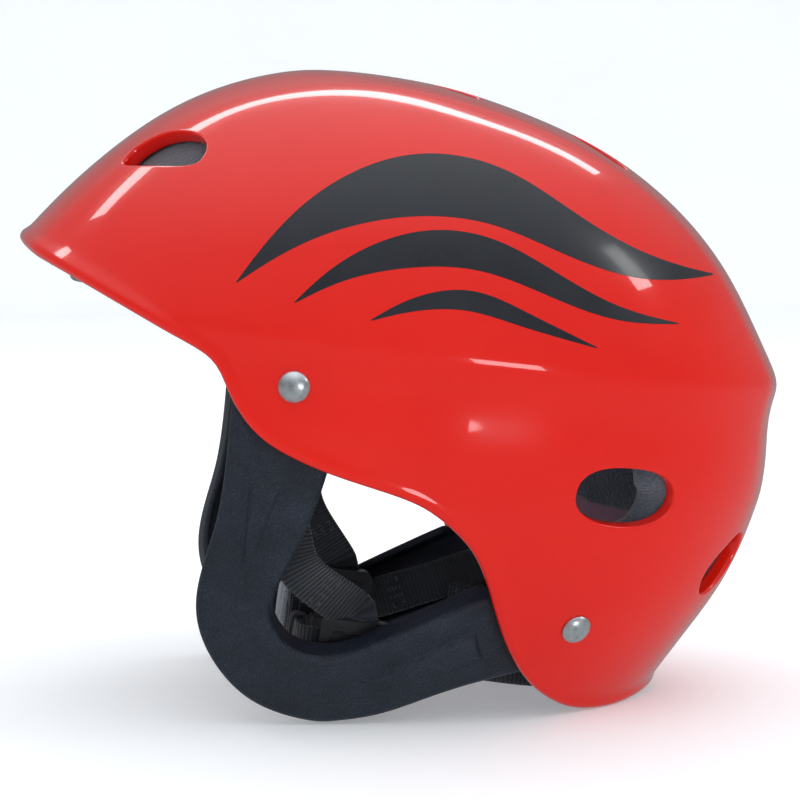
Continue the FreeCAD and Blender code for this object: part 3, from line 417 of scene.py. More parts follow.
def gloss_shell(name, light, dark):
    """Gloss moulded shell: clear coat, faint orange peel, wiping marks and settled dust."""
    s = Shader(name, Roughness=0.16, Coat_Weight=1.0, Coat_Roughness=0.03, Specular_IOR_Level=0.15)
    place = s.place()
    tone = s.noise(place, 9.0, 4.0)
    s.feed("Base Color", s.ramp(tone, [(0.3, dark), (0.7, light)]))
    wipes = s.node("ShaderNodeMapping", {"Vector": place, "Scale": (30.0, 6.0, 60.0),
                                         "Rotation": (0.5, 0.2, 0.0)}).outputs[0]
    smear = s.noise(wipes, 1.0, 6.0, 0.65, 0.4)
    s.feed("Roughness", s.remap(smear, 0.35, 0.75, 0.12, 0.27))
    peel = s.bump(s.noise(place, 380.0, 2.0), 0.05, 0.0006)
    dust = s.noise(place, 1500.0, 1.0)
    s.feed("Normal", s.bump(dust, 0.02, 0.0004, peel))
    return s.material


def shell_lining():
    """The unpainted inner face: dull pink-grey plastic with faint flow marks."""
    s = Shader("shell_lining", Roughness=0.5)
    place = s.place()
    flow = s.noise(place, 14.0, 5.0, 0.6, 1.2)
    s.feed("Base Color", s.ramp(flow, [(0.3, srgb(140, 98, 118)), (0.7, srgb(164, 122, 140))]))
    s.feed("Roughness", s.remap(flow, 0.3, 0.7, 0.42, 0.6))
    s.feed("Normal", s.bump(s.noise(place, 700.0, 3.0), 0.12, 0.0006))
    return s.material


def print_ink():
    """Screen-printed graphic: blue-black, a little duller than the shell."""
    s = Shader("graphic_ink", Roughness=0.3, Coat_Weight=0.35, Coat_Roughness=0.12)
    place = s.place()
    cloud = s.noise(place, 40.0, 5.0)
    s.feed("Base Color", s.ramp(cloud, [(0.3, srgb(17, 20, 27)), (0.75, srgb(27, 31, 40))]))
    s.feed("Roughness", s.remap(cloud, 0.3, 0.7, 0.24, 0.4))
    s.feed("Normal", s.bump(s.noise(place, 1200.0, 2.0), 0.05, 0.0004))
    return s.material


def guard_plastic():
    """Pebble-grained polymer, blue-black, with lighter blue-grey specks on the grain's raised points: painted
    glints of raking light, mixed with scuffing.
    """
    s = Shader("guard_plastic", Roughness=0.5)
    place = s.place()
    grain = s.node("ShaderNodeTexVoronoi", {"Vector": place, "Scale": 1500.0, "Randomness": 1.0},
                   feature="SMOOTH_F1").outputs["Distance"]
    fine = s.noise(place, 2600.0, 3.0, 0.7)
    scuff = s.noise(place, 55.0, 6.0, 0.68)
    # Specks of a lit blue-grey where the fine grain stands high, stronger where the scuff noise is: painted
    # glints mixed with scuff marks.
    grain_glint_and_scuff = s.maths("MULTIPLY", s.remap(fine, 0.5, 0.72, 0.0, 1.0),
                    s.remap(scuff, 0.35, 0.7, 0.35, 1.0))
    body = s.ramp(scuff, [(0.3, srgb(12, 18, 28)), (0.75, srgb(22, 30, 44))])
    s.feed("Base Color", s.mix(grain_glint_and_scuff, body, srgb(70, 84, 106)))
    s.feed("Roughness", s.remap(scuff, 0.3, 0.75, 0.34, 0.5))
    rough = s.bump(fine, 0.35, 0.0005)
    s.feed("Normal", s.bump(grain, 0.5, 0.0006, rough))
    return s.material


def foam(name, dark, light, fuzz):
    """Closed-cell foam faced with a brushed fuzz: pores, nap and handling marks."""
    s = Shader(name, Roughness=0.95, Sheen_Weight=0.35, Sheen_Roughness=0.6)
    place = s.place()
    patch = s.noise(place, 45.0, 6.0, 0.7)
    cells = s.node("ShaderNodeTexVoronoi", {"Vector": place, "Scale": 900.0}).outputs["Distance"]
    nap = s.noise(place, 1700.0, 4.0, 0.75)
    base = s.ramp(patch, [(0.3, dark), (0.72, light)])
    s.feed("Base Color", s.mix(s.remap(nap, 0.52, 0.75, 0.0, 0.75), base, fuzz))
    soft = s.bump(patch, 0.35, 0.002)
    pores = s.bump(cells, 0.6, 0.0008, soft)
    s.feed("Normal", s.bump(nap, 0.6, 0.0007, pores))
    return s.material


TWILL = 0.45                     # spacing of the fine warp across a tape


def woven(name, dark, light, rib):
    """Webbing or tape from its own UV in millimetres: cross ribs, fine warp and edge cords."""
    s = Shader(name, Roughness=0.72, Sheen_Weight=0.25, Sheen_Roughness=0.45)
    uv = s.place("UV")
    split = s.node("ShaderNodeSeparateXYZ", {"Vector": uv})
    across, along = split.outputs[0], split.outputs[1]
    turn = 2 * math.pi
    ribs = s.maths("SINE", s.maths("MULTIPLY", along, turn / rib))
    stagger = s.maths("ADD", s.maths("MULTIPLY", across, turn / TWILL),
                      s.maths("MULTIPLY", along, turn / rib / 2))
    warp = s.maths("SINE", stagger)
    height = s.maths("ADD", s.maths("MULTIPLY", ribs, 0.6), s.maths("MULTIPLY", warp, 0.4))
    # The weave's height also sets its colour, darker in the grooves and lighter on the rib crests: painted
    # shade and highlight; the wear noise adds random tone.
    painted_rib_shade = s.remap(height, -0.9, 0.9, 0.0, 1.0)
    wear = s.noise(s.place(), 120.0, 4.0)
    tone = s.ramp(s.maths("ADD", s.maths("MULTIPLY", painted_rib_shade, 0.75), s.maths("MULTIPLY", wear, 0.3)),
                  [(0.15, dark), (0.95, light)])
    s.feed("Base Color", tone)
    s.feed("Roughness", s.remap(wear, 0.3, 0.7, 0.62, 0.85))
    yarn = s.bump(s.noise(s.place(), 2400.0, 2.0), 0.25, 0.0004)
    s.feed("Normal", s.bump(height, 0.7, 0.0005, yarn))
    return s.material


def moulding(name, dark, light, rough):
    """Small injection-moulded fittings: satin skin, fine texture and handling polish."""
    s = Shader(name, Roughness=rough, IOR=1.49)
    place = s.place()
    patch = s.noise(place, 160.0, 5.0, 0.6)
    s.feed("Base Color", s.ramp(patch, [(0.3, dark), (0.75, light)]))
    s.feed("Roughness", s.remap(patch, 0.3, 0.7, rough - 0.08, rough + 0.12))
    s.feed("Normal", s.bump(s.noise(place, 2200.0, 3.0), 0.16, 0.0004))
    return s.material


def steel(name, colour, rough):
    """Tumbled stainless: soft blotches, fine scratches and a little grime."""
    s = Shader(name, Metallic=1.0, Roughness=rough)
    place = s.place()
    blotch = s.noise(place, 420.0, 5.0, 0.6)
    stretched = s.node("ShaderNodeMapping", {"Vector": place, "Scale": (600.0, 7000.0, 1400.0),
                                             "Rotation": (0.4, 0.3, 0.2)}).outputs[0]
    scratch = s.noise(stretched, 1.0, 3.0)
    dull = tuple(c * 0.72 for c in colour[:3]) + (1.0,)
    s.feed("Base Color", s.ramp(blotch, [(0.28, dull), (0.6, colour)]))
    s.feed("Roughness", s.remap(blotch, 0.3, 0.7, rough - 0.06, rough + 0.14))
    s.feed("Normal", s.bump(scratch, 0.12, 0.0002))
    return s.material


def pale_floor():
    s = Shader("stage_floor", Roughness=0.62, Emission_Color=(0.93, 0.96, 1.0, 1.0), Emission_Strength=0.24)
    cloud = s.noise(s.place(), 3.0, 3.0)
    s.feed("Base Color", s.ramp(cloud, [(0.3, (0.86, 0.865, 0.87, 1.0)), (0.7, (0.885, 0.89, 0.895, 1.0))]))
    return s.material


RED = gloss_shell("shell_gloss", srgb(219, 25, 9), srgb(210, 19, 7))
LINING = shell_lining()
INK = print_ink()
GUARD = guard_plastic()
FOAM = foam("liner_foam", srgb(40, 47, 58), srgb(62, 71, 84), srgb(104, 114, 128))
NAPE_FOAM = foam("nape_foam", srgb(96, 101, 108), srgb(126, 131, 138), srgb(158, 163, 168))
CHIN_FOAM = foam("chin_cover", srgb(82, 88, 96), srgb(112, 118, 127), srgb(146, 151, 158))
WEB = woven("webbing_nylon", srgb(11, 14, 18), srgb(50, 57, 68), 1.5)
ELASTIC = woven("keeper_elastic", srgb(13, 14, 17), srgb(48, 51, 57), 0.9)
THREAD = woven("stitch_thread", srgb(28, 31, 37), srgb(92, 98, 108), 0.5)
ACETAL = moulding("fitting_acetal", srgb(17, 18, 21), srgb(34, 36, 41), 0.36)
STEEL = steel("rivet_steel", srgb(240, 246, 250), 0.28)
WASHER_STEEL = steel("washer_steel", srgb(172, 176, 180), 0.34)


# ---------------------------------------------------------------- shell

BRIM_AND_HEM = [
    (-160.0, 22.4), (-141.5, 15.2), (-125.0, 9.2), (-109.5, 3.4), (-91.7, -3.7), (-78.0, -9.2),
    (-69.5, -13.8), (-64.5, -19.8), (-60.8, -26.0), (-53.8, -34.2), (-42.9, -41.0),
    (-24.4, -46.6), (-0.7, -51.3), (13.5, -56.6), (24.6, -64.6), (31.6, -73.2), (36.6, -83.0),
    (41.5, -94.0), (47.8, -105.2), (55.8, -114.6), (64.5, -120.6), (75.0, -124.4),
    (88.0, -124.6), (98.0, -122.6), (106.0, -120.0), (114.0, -117.6), (130.0, -115.0),
]
# name: where, long size, height above and below the line of the two tips, squareness, tilt
VENTS = {
    "front": (side_spot(-94.4, 52.4), 37.0, 11.6, 6.6, (2.1, 3.4), 10.0),
    "top": (top_spot(20.0, 8.0), 24.0, 6.0, 6.0, (2.3, 2.3), 90.0),
    "crest": (top_spot(27.0, 62.0), 26.0, 7.0, 7.0, (2.3, 2.3), 90.0),
    "side": (side_spot(78.7, -44.0), 41.0, 11.0, 11.0, (2.4, 2.3), 0.0),
    "nape": (rear_spot(42.5, -68.5), 30.0, 10.0, 10.0, (2.3, 2.3), 42.0),
}
AROUND = 432                     # columns of the shell's grid
CROWN_END = 7.4                  # level where the rows start to follow the rim instead of the crown
CROWN_ROWS = 76
HEM_ROWS = 62
RIM_STEPS = (6.4, 5.0, 3.8, 2.9, 2.1, 1.4, 0.8, 0.35, 0.0)   # distances from the rim's roll
RIM_ROLL = 2.0                   # radius of the rolled edge
RIM_FLARE = 0.9                  # how far the lip stands out
RIM_FLARE_REACH = 2.4
ROLL_STEPS = 10
VENT_MARGIN = 4.5
VENT_RINGS = 6
VENT_ROUND = 1.3                 # soft outer edge of a vent
VENT_TAPER = 0.7                 # how much narrower each half of the hole is inside
VENT_ROUND_STEPS = 6
VENT_WALL_DEPTHS = (2.6, 3.3)
VENT_BACK = ((0.25, 3.8), (0.8, SHELL_WALL))     # widening and depth of the inner lip's rings


def hem_height(y):
    line = smooth_curve(BRIM_AND_HEM, np.linspace(0, len(BRIM_AND_HEM) - 1, 2400))
    return np.interp(y, line[:, 0], line[:, 1])


def rim_levels(angles):
    low, high = np.full(angles.shape, 6.0), np.full(angles.shape, LAST_LEVEL - 0.1)
    for _ in range(40):
        middle = (low + high) / 2
        p = form(angles, middle)
        above = p[:, 2] > hem_height(p[:, 1])
        low, high = np.where(above, middle, low), np.where(above, high, middle)
    return (low + high) / 2


def shell_levels(angles):
    """Level of every row and column of the shell's grid, and the direction out of its rim."""
    rim = rim_levels(angles)
    edge = form(angles, rim)
    along = unit(np.roll(edge, -1, 0) - np.roll(edge, 1, 0))
    normal = form_normal(angles, rim)
    out = unit(np.cross(along, normal))
    down = (form(angles, rim + 0.01) - form(angles, rim - 0.01)) / 0.02
    reach = (down * out).sum(-1)
    out *= np.sign(reach)[:, None]
    per_mm = 1 / np.abs(reach)
    start = rim - RIM_ROLL * per_mm
    rows = [np.full(angles.shape, CROWN_END * (i + 1) / CROWN_ROWS) for i in range(CROWN_ROWS)]
    last = start - RIM_STEPS[0] * per_mm
    for i in range(HEM_ROWS):
        rows.append(CROWN_END + (last - CROWN_END) * (i + 1) / (HEM_ROWS + 1))
    rows += [start - step * per_mm for step in RIM_STEPS]
    return np.array(rows), out


def vent_frame(spot, tilt, side):
    """Centre, normal and in-plane directions of a vent."""
    angle, level = (np.asarray(value, float) for value in spot)
    centre, normal = form(angle, level), form_normal(angle, level)
    flat = unit(np.cross([0.0, 0.0, 1.0], normal))
    up = np.cross(normal, flat)
    turn = math.radians(tilt)
    along = flat * math.cos(turn) + up * math.sin(turn)
    across = np.cross(normal, along)
    return tuple(vector * mirror(side) for vector in (centre, normal, along, across))


def on_skin(frame_of, u, v, angle, level):
    """Angles and levels of the skin's points at (u, v) in a vent's plane, from a first guess."""
    centre, _, along, across = frame_of
    step = 1e-4
    for _ in range(14):
        p = form(angle, level)
        by_angle = (form(angle + step, level) - p) / step
        by_level = (form(angle, level + step) - p) / step
        miss_u, miss_v = u - (p - centre) @ along, v - (p - centre) @ across
        a, b, c, d = by_angle @ along, by_level @ along, by_angle @ across, by_level @ across
        det = a * d - b * c
        angle = angle + (d * miss_u - b * miss_v) / det
        level = np.maximum(level + (a * miss_v - c * miss_u) / det, 0.05)
    return angle, level


def hole_edge(u, v, grow, vent):
    """The point of a vent's grown outline that lies in the direction of (u, v)."""
    _, long, above, below, square, _ = vent
    high = np.where(v >= 0, above, below) + grow
    power = np.where(v >= 0, square[0], square[1])
    scale = (np.abs(u / (long / 2 + grow)) ** power + np.abs(v / high) ** power) ** (-1 / power)
    return u * scale, v * scale


def make_shell():
    angles = 2 * math.pi * np.arange(AROUND) / AROUND
    levels, out = shell_levels(angles)
    rows = len(levels)
    grid_angles = np.broadcast_to(angles, levels.shape)
    distance = np.full(rows, 1e3)
    distance[-len(RIM_STEPS):] = RIM_STEPS
    distance[-len(RIM_STEPS) - 3:-len(RIM_STEPS)] = (13.0, 10.5, 8.2)
    flare = RIM_FLARE * np.exp(-(distance / RIM_FLARE_REACH) ** 2)
    top = outer_skin(grid_angles, levels, flare[:, None])
    under = inner_skin(grid_angles, levels, SHELL_WALL - flare[:, None])
    points = [top.reshape(-1, 3), under.reshape(-1, 3)]
    count = 2 * rows * AROUND
    faces, slots = [], []

    def add(new_points):
        nonlocal count
        points.append(np.asarray(new_points, float).reshape(-1, 3))
        count += len(points[-1])
        return list(range(count - len(points[-1]), count))

    def band(a, b, slot):
        """Quads between two closed rings of point numbers."""
        for m in range(len(a)):
            n = (m + 1) % len(a)
            faces.append((a[m], a[n], b[n], b[m]))
            slots.append(slot)

    taken = np.zeros((rows, AROUND), bool)
    for vent in VENTS.values():
        for side in SIDES.values():
            frame_of = vent_frame(vent[0], vent[5], side)
            centre, normal, along, across = frame_of
            offset = form(grid_angles, levels) - centre
            u, v = offset @ along, offset @ across
            near = np.abs(offset @ normal) < 25
            inside = near & (np.abs(u) < vent[1] / 2 + VENT_MARGIN)
            inside &= (v < vent[2] + VENT_MARGIN) & (v > -vent[3] - VENT_MARGIN)
            i_of, j_of = np.nonzero(inside)
            turn = (j_of - j_of[0] + AROUND // 2) % AROUND - AROUND // 2 + j_of[0]
            i0, i1, j0, j1 = i_of.min(), i_of.max(), turn.min(), turn.max()
            loop = [(i0, j) for j in range(j0, j1)] + [(i, j1) for i in range(i0, i1)]
            loop += [(i1, j) for j in range(j1, j0, -1)] + [(i, j0) for i in range(i1, i0, -1)]
            for i in range(i0, i1):
                for j in range(j0, j1):
                    if taken[i, j % AROUND]:
                        raise RuntimeError("two vents overlap")
                    taken[i, j % AROUND] = True
            li = np.array([i for i, _ in loop])
            lj = np.array([j % AROUND for _, j in loop])
            bu, bv = u[li, lj], v[li, lj]
            ba, bl = np.unwrap(grid_angles[li, lj]), levels[li, lj]

            def ring(grow, share, depth=0.0):
                """A ring between the hole's grown outline and the block's edge, at a depth."""
                hu, hv = hole_edge(bu, bv, grow, vent)
                ru, rv = hu + (bu - hu) * share, hv + (bv - hv) * share
                middle_angle = ba.mean()
                guess = 0.3 + 0.7 * share
                a, l = on_skin(frame_of, ru, rv, middle_angle + (ba - middle_angle) * guess,
                               bl.mean() + (bl - bl.mean()) * guess)
                high, low = outer_skin(a, l), inner_skin(a, l, np.full(a.shape, SHELL_WALL))
                return high + (low - high) * (depth / SHELL_WALL)

            shares = [1 - ease(k / VENT_RINGS) for k in range(1, VENT_RINGS)]
            rings = [[int(i * AROUND + j) for i, j in zip(li, lj)]]
            rings += [add(ring(0.0, share)) for share in shares] + [add(ring(0.0, 0.0))]
            for k in range(1, VENT_ROUND_STEPS + 1):
                bend = math.pi / 2 * k / VENT_ROUND_STEPS
                rings.append(add(ring(-VENT_TAPER * math.sin(bend), 0.0, VENT_ROUND * (1 - math.cos(bend)))))
            rings += [add(ring(-VENT_TAPER, 0.0, depth)) for depth in VENT_WALL_DEPTHS]
            lip = len(rings)
            rings += [add(ring(-VENT_TAPER + wider, 0.0, depth)) for wider, depth in VENT_BACK]
            wider = VENT_BACK[-1][0] - VENT_TAPER
            rings += [add(ring(wider, share, SHELL_WALL)) for share in reversed(shares)]
            rings.append([int(rows * AROUND + i * AROUND + j) for i, j in zip(li, lj)])
            for k in range(len(rings) - 1):
                band(rings[k], rings[k + 1], 0 if k < lip else 1)

    for layer in (0, 1):
        base = layer * rows * AROUND
        for i in range(rows - 1):
            for j in range(AROUND):
                if not taken[i, j]:
                    k = (j + 1) % AROUND
                    faces.append((base + i * AROUND + j, base + i * AROUND + k,
                                  base + (i + 1) * AROUND + k, base + (i + 1) * AROUND + j))
                    slots.append(layer)
        pole = form(np.array([0.0]), np.array([0.001]))
        pole[:, 0] = 0.0
        pole[:, 2] -= SHELL_WALL * layer
        tip = add(pole)[0]
        faces += fan([base + j for j in range(AROUND)], tip)
        slots += [layer] * AROUND

    high, low = top[-1], under[-1]
    middle, half = (high + low) / 2, (high - low) / 2
    radius = np.linalg.norm(half, axis=-1, keepdims=True)
    before = list(range((rows - 1) * AROUND, rows * AROUND))
    for k in range(1, ROLL_STEPS + 1):
        bend = math.pi * k / ROLL_STEPS
        if k < ROLL_STEPS:
            now = add(middle + half * math.cos(bend) + out * radius * math.sin(bend))
        else:
            now = list(range((2 * rows - 1) * AROUND, 2 * rows * AROUND))
        band(before, now, 0)
        before = now
    shell = new_piece("shell_skin", np.concatenate(points), faces, "helmet", "shell", [RED, LINING],
                      slots=slots)
    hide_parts("shell")


# Generic graphic: three tapering wave strokes.  Knots are Y, height and half width.
WAVES = [
    [(-64.0, 13.0, 0.2), (-52.0, 27.0, 3.4), (-34.0, 42.0, 7.4), (-8.0, 53.0, 10.4), (20.0, 53.0, 9.8),
     (46.0, 44.0, 7.4), (74.0, 36.0, 4.6), (104.0, 35.0, 0.2)],
    [(-44.0, 9.0, 0.2), (-28.0, 22.0, 3.2), (-6.0, 31.5, 5.8), (18.0, 33.0, 5.8), (42.0, 26.0, 4.2),
     (66.0, 19.0, 2.4), (90.0, 17.5, 0.2)],
    [(-18.0, 6.5, 0.2), (-4.0, 13.5, 2.2), (14.0, 17.0, 3.4), (34.0, 13.0, 2.5), (60.0, 6.5, 0.2)],
]
INK_RISE = 0.06


def make_graphics():
    for name, side in SIDES.items():
        points, faces = [], []
        for wave in WAVES:
            line = smooth_curve(wave, np.linspace(0, len(wave) - 1, 170))
            step = np.gradient(line[:, :2], axis=0)
            square = unit(np.stack([-step[:, 1], step[:, 0]], -1))
            across = np.linspace(-1, 1, 11)
            flat = line[:, None, :2] + square[:, None] * (line[:, 2, None] * across)[..., None]
            angle, level = side_spot(flat[..., 0], flat[..., 1])
            skin = outer_skin(angle, level, INK_RISE) * mirror(side)
            faces += grid_faces(len(line), len(across), sum(len(p) for p in points))
            points.append(skin.reshape(-1, 3))
        new_piece(f"graphic_{name}", np.concatenate(points), faces, "helmet", "shell", [INK])


make_shell()
make_graphics()


# ---------------------------------------------------------------- ear guards

# The two long edges of the guard seen from the side, matched knot by knot from the temple, down
# the front arm, round the jaw and back along the rear arm.
GUARD_FRONT_EDGE = [
    (-56.0, -9.5), (-61.6, -20.0), (-61.9, -38.0), (-61.4, -55.0), (-62.0, -70.0), (-64.0, -83.0),
    (-65.4, -95.0), (-64.4, -106.0), (-59.5, -117.0), (-50.0, -128.0), (-36.0, -136.2),
    (-19.0, -139.3), (-8.0, -138.0), (6.0, -134.0), (22.0, -126.5), (38.0, -119.6), (54.0, -114.4),
    (68.0, -109.5), (77.6, -104.0), (81.0, -98.0),
]
GUARD_EAR_EDGE = [
    (-30.0, -9.5), (-25.6, -20.5), (-25.0, -38.0), (-27.2, -56.0), (-30.7, -71.5), (-34.4, -82.5),
    (-37.4, -92.0), (-38.6, -99.5), (-37.0, -104.8), (-33.0, -109.9), (-27.2, -113.2),
    (-19.0, -114.3), (-10.0, -112.4), (0.0, -107.2), (12.0, -100.2), (26.0, -92.1), (42.0, -83.6),
    (57.0, -79.4), (72.0, -80.6), (80.0, -88.0),
]
FRONT_EMBOSS = [(-51.5, -53.5), (-41.0, -54.5), (-42.6, -62.0), (-45.4, -74.0), (-50.3, -93.0)]
FRONT_EMBOSS_FADE = (-53.5, -93.0)       # heights between which the front wedge sinks away
REAR_EMBOSS = [(-5.2, -123.0), (15.0, -110.6), (34.0, -99.0), (38.5, -109.0), (14.0, -118.6)]
GUARD_SKIN = 4.35                # depth of the guard's outer face under the shell's
GUARD_WALL = 3.0
GUARD_FLANGE = 12.0
GUARD_CORNER = 2.7
GUARD_FOOT = 0.6                 # fillet between the guard's wall and its flange
GUARD_TIP = 1.5                  # half thickness of the flange
GUARD_STATIONS = 330
EMBOSS_RISE = 1.9
EMBOSS_SLOPE = 4.0               # height of the front wedge's sloping top


def inside_distance(points, corners):
    """Signed distance of flat points from a polygon's edge, positive inside."""
    corners = np.asarray(corners, float)
    ends = np.roll(corners, -1, 0)
    best = np.full(points.shape[:-1], 1e9)
    crossings = np.zeros(points.shape[:-1], int)
    for a, b in zip(corners, ends):
        edge = b - a
        t = np.clip(((points - a) @ edge) / (edge @ edge), 0, 1)
        best = np.minimum(best, np.linalg.norm(points - a - t[..., None] * edge, axis=-1))
        spans = (a[1] > points[..., 1]) != (b[1] > points[..., 1])
        cut = a[0] + (points[..., 1] - a[1]) / (b[1] - a[1] + 1e-12) * edge[0]
        crossings += spans & (points[..., 0] < cut)
    return np.where(crossings % 2, best, -best)


def make_guard(name, side):
    places = np.linspace(0, len(GUARD_FRONT_EDGE) - 1, 900)
    front, ear = smooth_curve(GUARD_FRONT_EDGE, places), smooth_curve(GUARD_EAR_EDGE, places)
    pairs = evenly(np.concatenate([front, ear], 1), GUARD_STATIONS)
    front, ear = pairs[:, None, :2], pairs[:, None, 2:]
    wide = np.linalg.norm(ear - front, axis=-1)

    corner = np.linspace(0, math.pi / 2, 8)
    round_in = GUARD_CORNER * (1 - np.sin(corner[::-1]))     # distance from the edge, 0 outermost
    round_down = GUARD_CORNER * (1 - np.cos(corner[::-1]))
    centre = np.linspace(0, 1, 44)[1:-1]
    open_part = hem_height((front + ear)[:, 0, 0] / 2) - (front + ear)[:, 0, 1] / 2
    uncovered = ease((open_part + 4) / 10)[:, None]
    deep = GUARD_WALL + GUARD_FOOT + (GUARD_FLANGE - GUARD_WALL - GUARD_FOOT) * uncovered

    inset, depth = [], []                                    # the profile, from one edge to the other

    def part(distance, from_far, down):
        distance = np.broadcast_to(distance, (GUARD_STATIONS, np.shape(distance)[-1]))
        inset.append(wide - distance if from_far else distance)
        depth.append(np.broadcast_to(down, inset[-1].shape))

    wall = np.array([0.25, 0.5, 0.75])
    tip = np.linspace(0, math.pi, 7)
    outer_wall = GUARD_CORNER + (deep - GUARD_CORNER - GUARD_TIP) * wall
    inner_wall = GUARD_WALL + 0.5 + np.maximum(deep - GUARD_WALL - 2.0, 0.05) * wall
    tip_in, tip_down = GUARD_TIP * np.cos(tip), deep - GUARD_TIP + GUARD_TIP * np.sin(tip)
    part(round_in, False, round_down[None])
    part(GUARD_CORNER + (wide - 2 * GUARD_CORNER) * centre, False, 0.0)
    part(round_in[::-1], True, round_down[::-1][None])
    part(0 * wall, True, outer_wall)
    part(GUARD_TIP - tip_in, True, tip_down)
    part(GUARD_WALL + 0 * wall, True, inner_wall[:, ::-1])
    part(GUARD_WALL + GUARD_FOOT + (wide - 2 * GUARD_WALL - 2 * GUARD_FOOT) * np.linspace(0, 1, 24), True,
         GUARD_WALL)
    part(GUARD_WALL + 0 * wall, False, inner_wall)
    part(GUARD_TIP + tip_in, False, tip_down)
    part(0 * wall, False, outer_wall[:, ::-1])
    inset, depth = np.concatenate(inset, 1), np.concatenate(depth, 1)
    depth = np.maximum(depth, 0.0)

    flat = front + (ear - front) * (inset / wide)[..., None]
    raised = depth < 0.5
    for outline, fade in ((FRONT_EMBOSS, FRONT_EMBOSS_FADE), (REAR_EMBOSS, None)):
        inner = ease((inside_distance(flat, outline) + 0.1) / 0.9)
        if fade:
            inner = inner * (0.35 + 0.65 * np.clip((flat[..., 1] - fade[1]) / (fade[0] - fade[1]), 0, 1))
            inner = inner * np.clip((fade[0] - flat[..., 1]) / EMBOSS_SLOPE, 0, 1)
        depth = depth - np.where(raised, EMBOSS_RISE * inner, 0.0)
    points, _ = under_side(flat[..., 0], flat[..., 1], GUARD_SKIN + depth, side)
    columns = points.shape[1]
    faces = grid_faces(GUARD_STATIONS, columns, wrap_columns=True)
    points = points.reshape(-1, 3)
    first, last = list(range(columns)), list(range(len(points) - columns, len(points)))
    ends = [points[first].mean(0), points[last].mean(0)]
    faces += fan(first, len(points)) + fan(last, len(points) + 1)
    guard = new_piece(f"ear_guard_{name}", np.concatenate([points, ends]), faces, "helmet", "guard",
                      [GUARD])
    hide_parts(f"{name}_ear_guard")


for side_name, side_sign in SIDES.items():
    make_guard(side_name, side_sign)


# ---------------------------------------------------------------- soft pads

LINER_FACE = 4.5                 # depth of the liner's outer face under the shell's
LINER_THICK = 10.5


CORNER_DRAW = 0.30               # how far a pad's corners are drawn in


def squared(a, b):
    """Points of the unit square drawn in towards rounded corners."""
    shrink = 1 - CORNER_DRAW * 0.5 * (a * a * b * b)
    return a * shrink, b * shrink


def pillow(spot, depths, size, edge, rows, columns):
    """A closed crowned slab between two depths; spot(a, b) gives angle and level on [-1, 1]."""
    a, b = np.meshgrid(np.linspace(-1, 1, columns), np.linspace(-1, 1, rows))
    sa, sb = squared(a, b)
    angle, level = spot(sa, sb)
    near = np.minimum((1 - np.abs(a)) * size[0] / 2, (1 - np.abs(b)) * size[1] / 2)
    swell = np.sqrt(np.clip(1 - (1 - np.minimum(near / edge, 1)) ** 2, 0, 1))
    swell = swell * (0.86 + 0.14 * np.cos(a * math.pi / 2) * np.cos(b * math.pi / 2))
    middle, half = sum(depths) / 2, (depths[1] - depths[0]) / 2
    top = inner_skin(angle, level, middle - half * swell)
    low = inner_skin(angle, level, middle + half * swell)
    points = np.concatenate([top.reshape(-1, 3), low.reshape(-1, 3)])
    n = rows * columns
    border = [(0, j) for j in range(columns)] + [(i, columns - 1) for i in range(1, rows)]
    border += [(rows - 1, j) for j in range(columns - 2, -1, -1)] + [(i, 0) for i in range(rows - 2, 0, -1)]
    ring = [i * columns + j for i, j in border]
    faces = grid_faces(rows, columns) + [tuple(k + n for k in f[::-1]) for f in grid_faces(rows, columns)]
    same = {k + n: k for k in ring}
    faces = [tuple(same.get(k, k) for k in f) for f in faces]
    used = sorted({k for f in faces for k in f})
    order = {k: i for i, k in enumerate(used)}
    return points[used], [tuple(order[k] for k in f) for f in faces]


CLOTH = {"quality": 5, "mass": 0.3, "tension_stiffness": 18, "compression_stiffness": 18,
         "bending_stiffness": 1.2, "use_pressure": True, "uniform_pressure_force": 4.0}
CLOTH_FRAMES = 20
SWELL_CAP = 0.0022               # metres that a point may move


def swell_by_cloth(piece, voxel):
    """Cloth pressure on a remeshed copy, with no point moving further than the cap."""
    remesh = piece.modifiers.new("Remesh", "REMESH")
    remesh.mode = "VOXEL"
    remesh.voxel_size = voxel
    apply_modifiers(piece)
    start = coordinates(piece.data)
    cloth = piece.modifiers.new("Cloth", "CLOTH")
    for key, value in CLOTH.items():
        setattr(cloth.settings, key, value)
    cloth.settings.effector_weights.gravity = 0.0
    scene = bpy.context.scene
    for number in range(1, CLOTH_FRAMES + 1):
        scene.frame_set(number)
    apply_modifiers(piece)
    scene.frame_set(1)
    move = coordinates(piece.data) - start
    length = np.linalg.norm(move, axis=-1, keepdims=True)
    move *= np.minimum(1, SWELL_CAP / np.maximum(length, 1e-9))
    piece.data.vertices.foreach_set("co", (start + move).ravel())
    subdivide(piece, 1)


def coordinates(mesh):
    co = np.zeros(len(mesh.vertices) * 3)
    mesh.vertices.foreach_get("co", co)
    return co.reshape(-1, 3)


def apply_modifiers(piece):
    graph = bpy.context.evaluated_depsgraph_get()
    mesh = bpy.data.meshes.new_from_object(piece.evaluated_get(graph))
    piece.modifiers.clear()
    piece.data = mesh
    mesh.polygons.foreach_set("use_smooth", [True] * len(mesh.polygons))


def subdivide(piece, levels):
    modifier = piece.modifiers.new("Subdivision", "SUBSURF")
    modifier.levels = modifier.render_levels = levels
    apply_modifiers(piece)


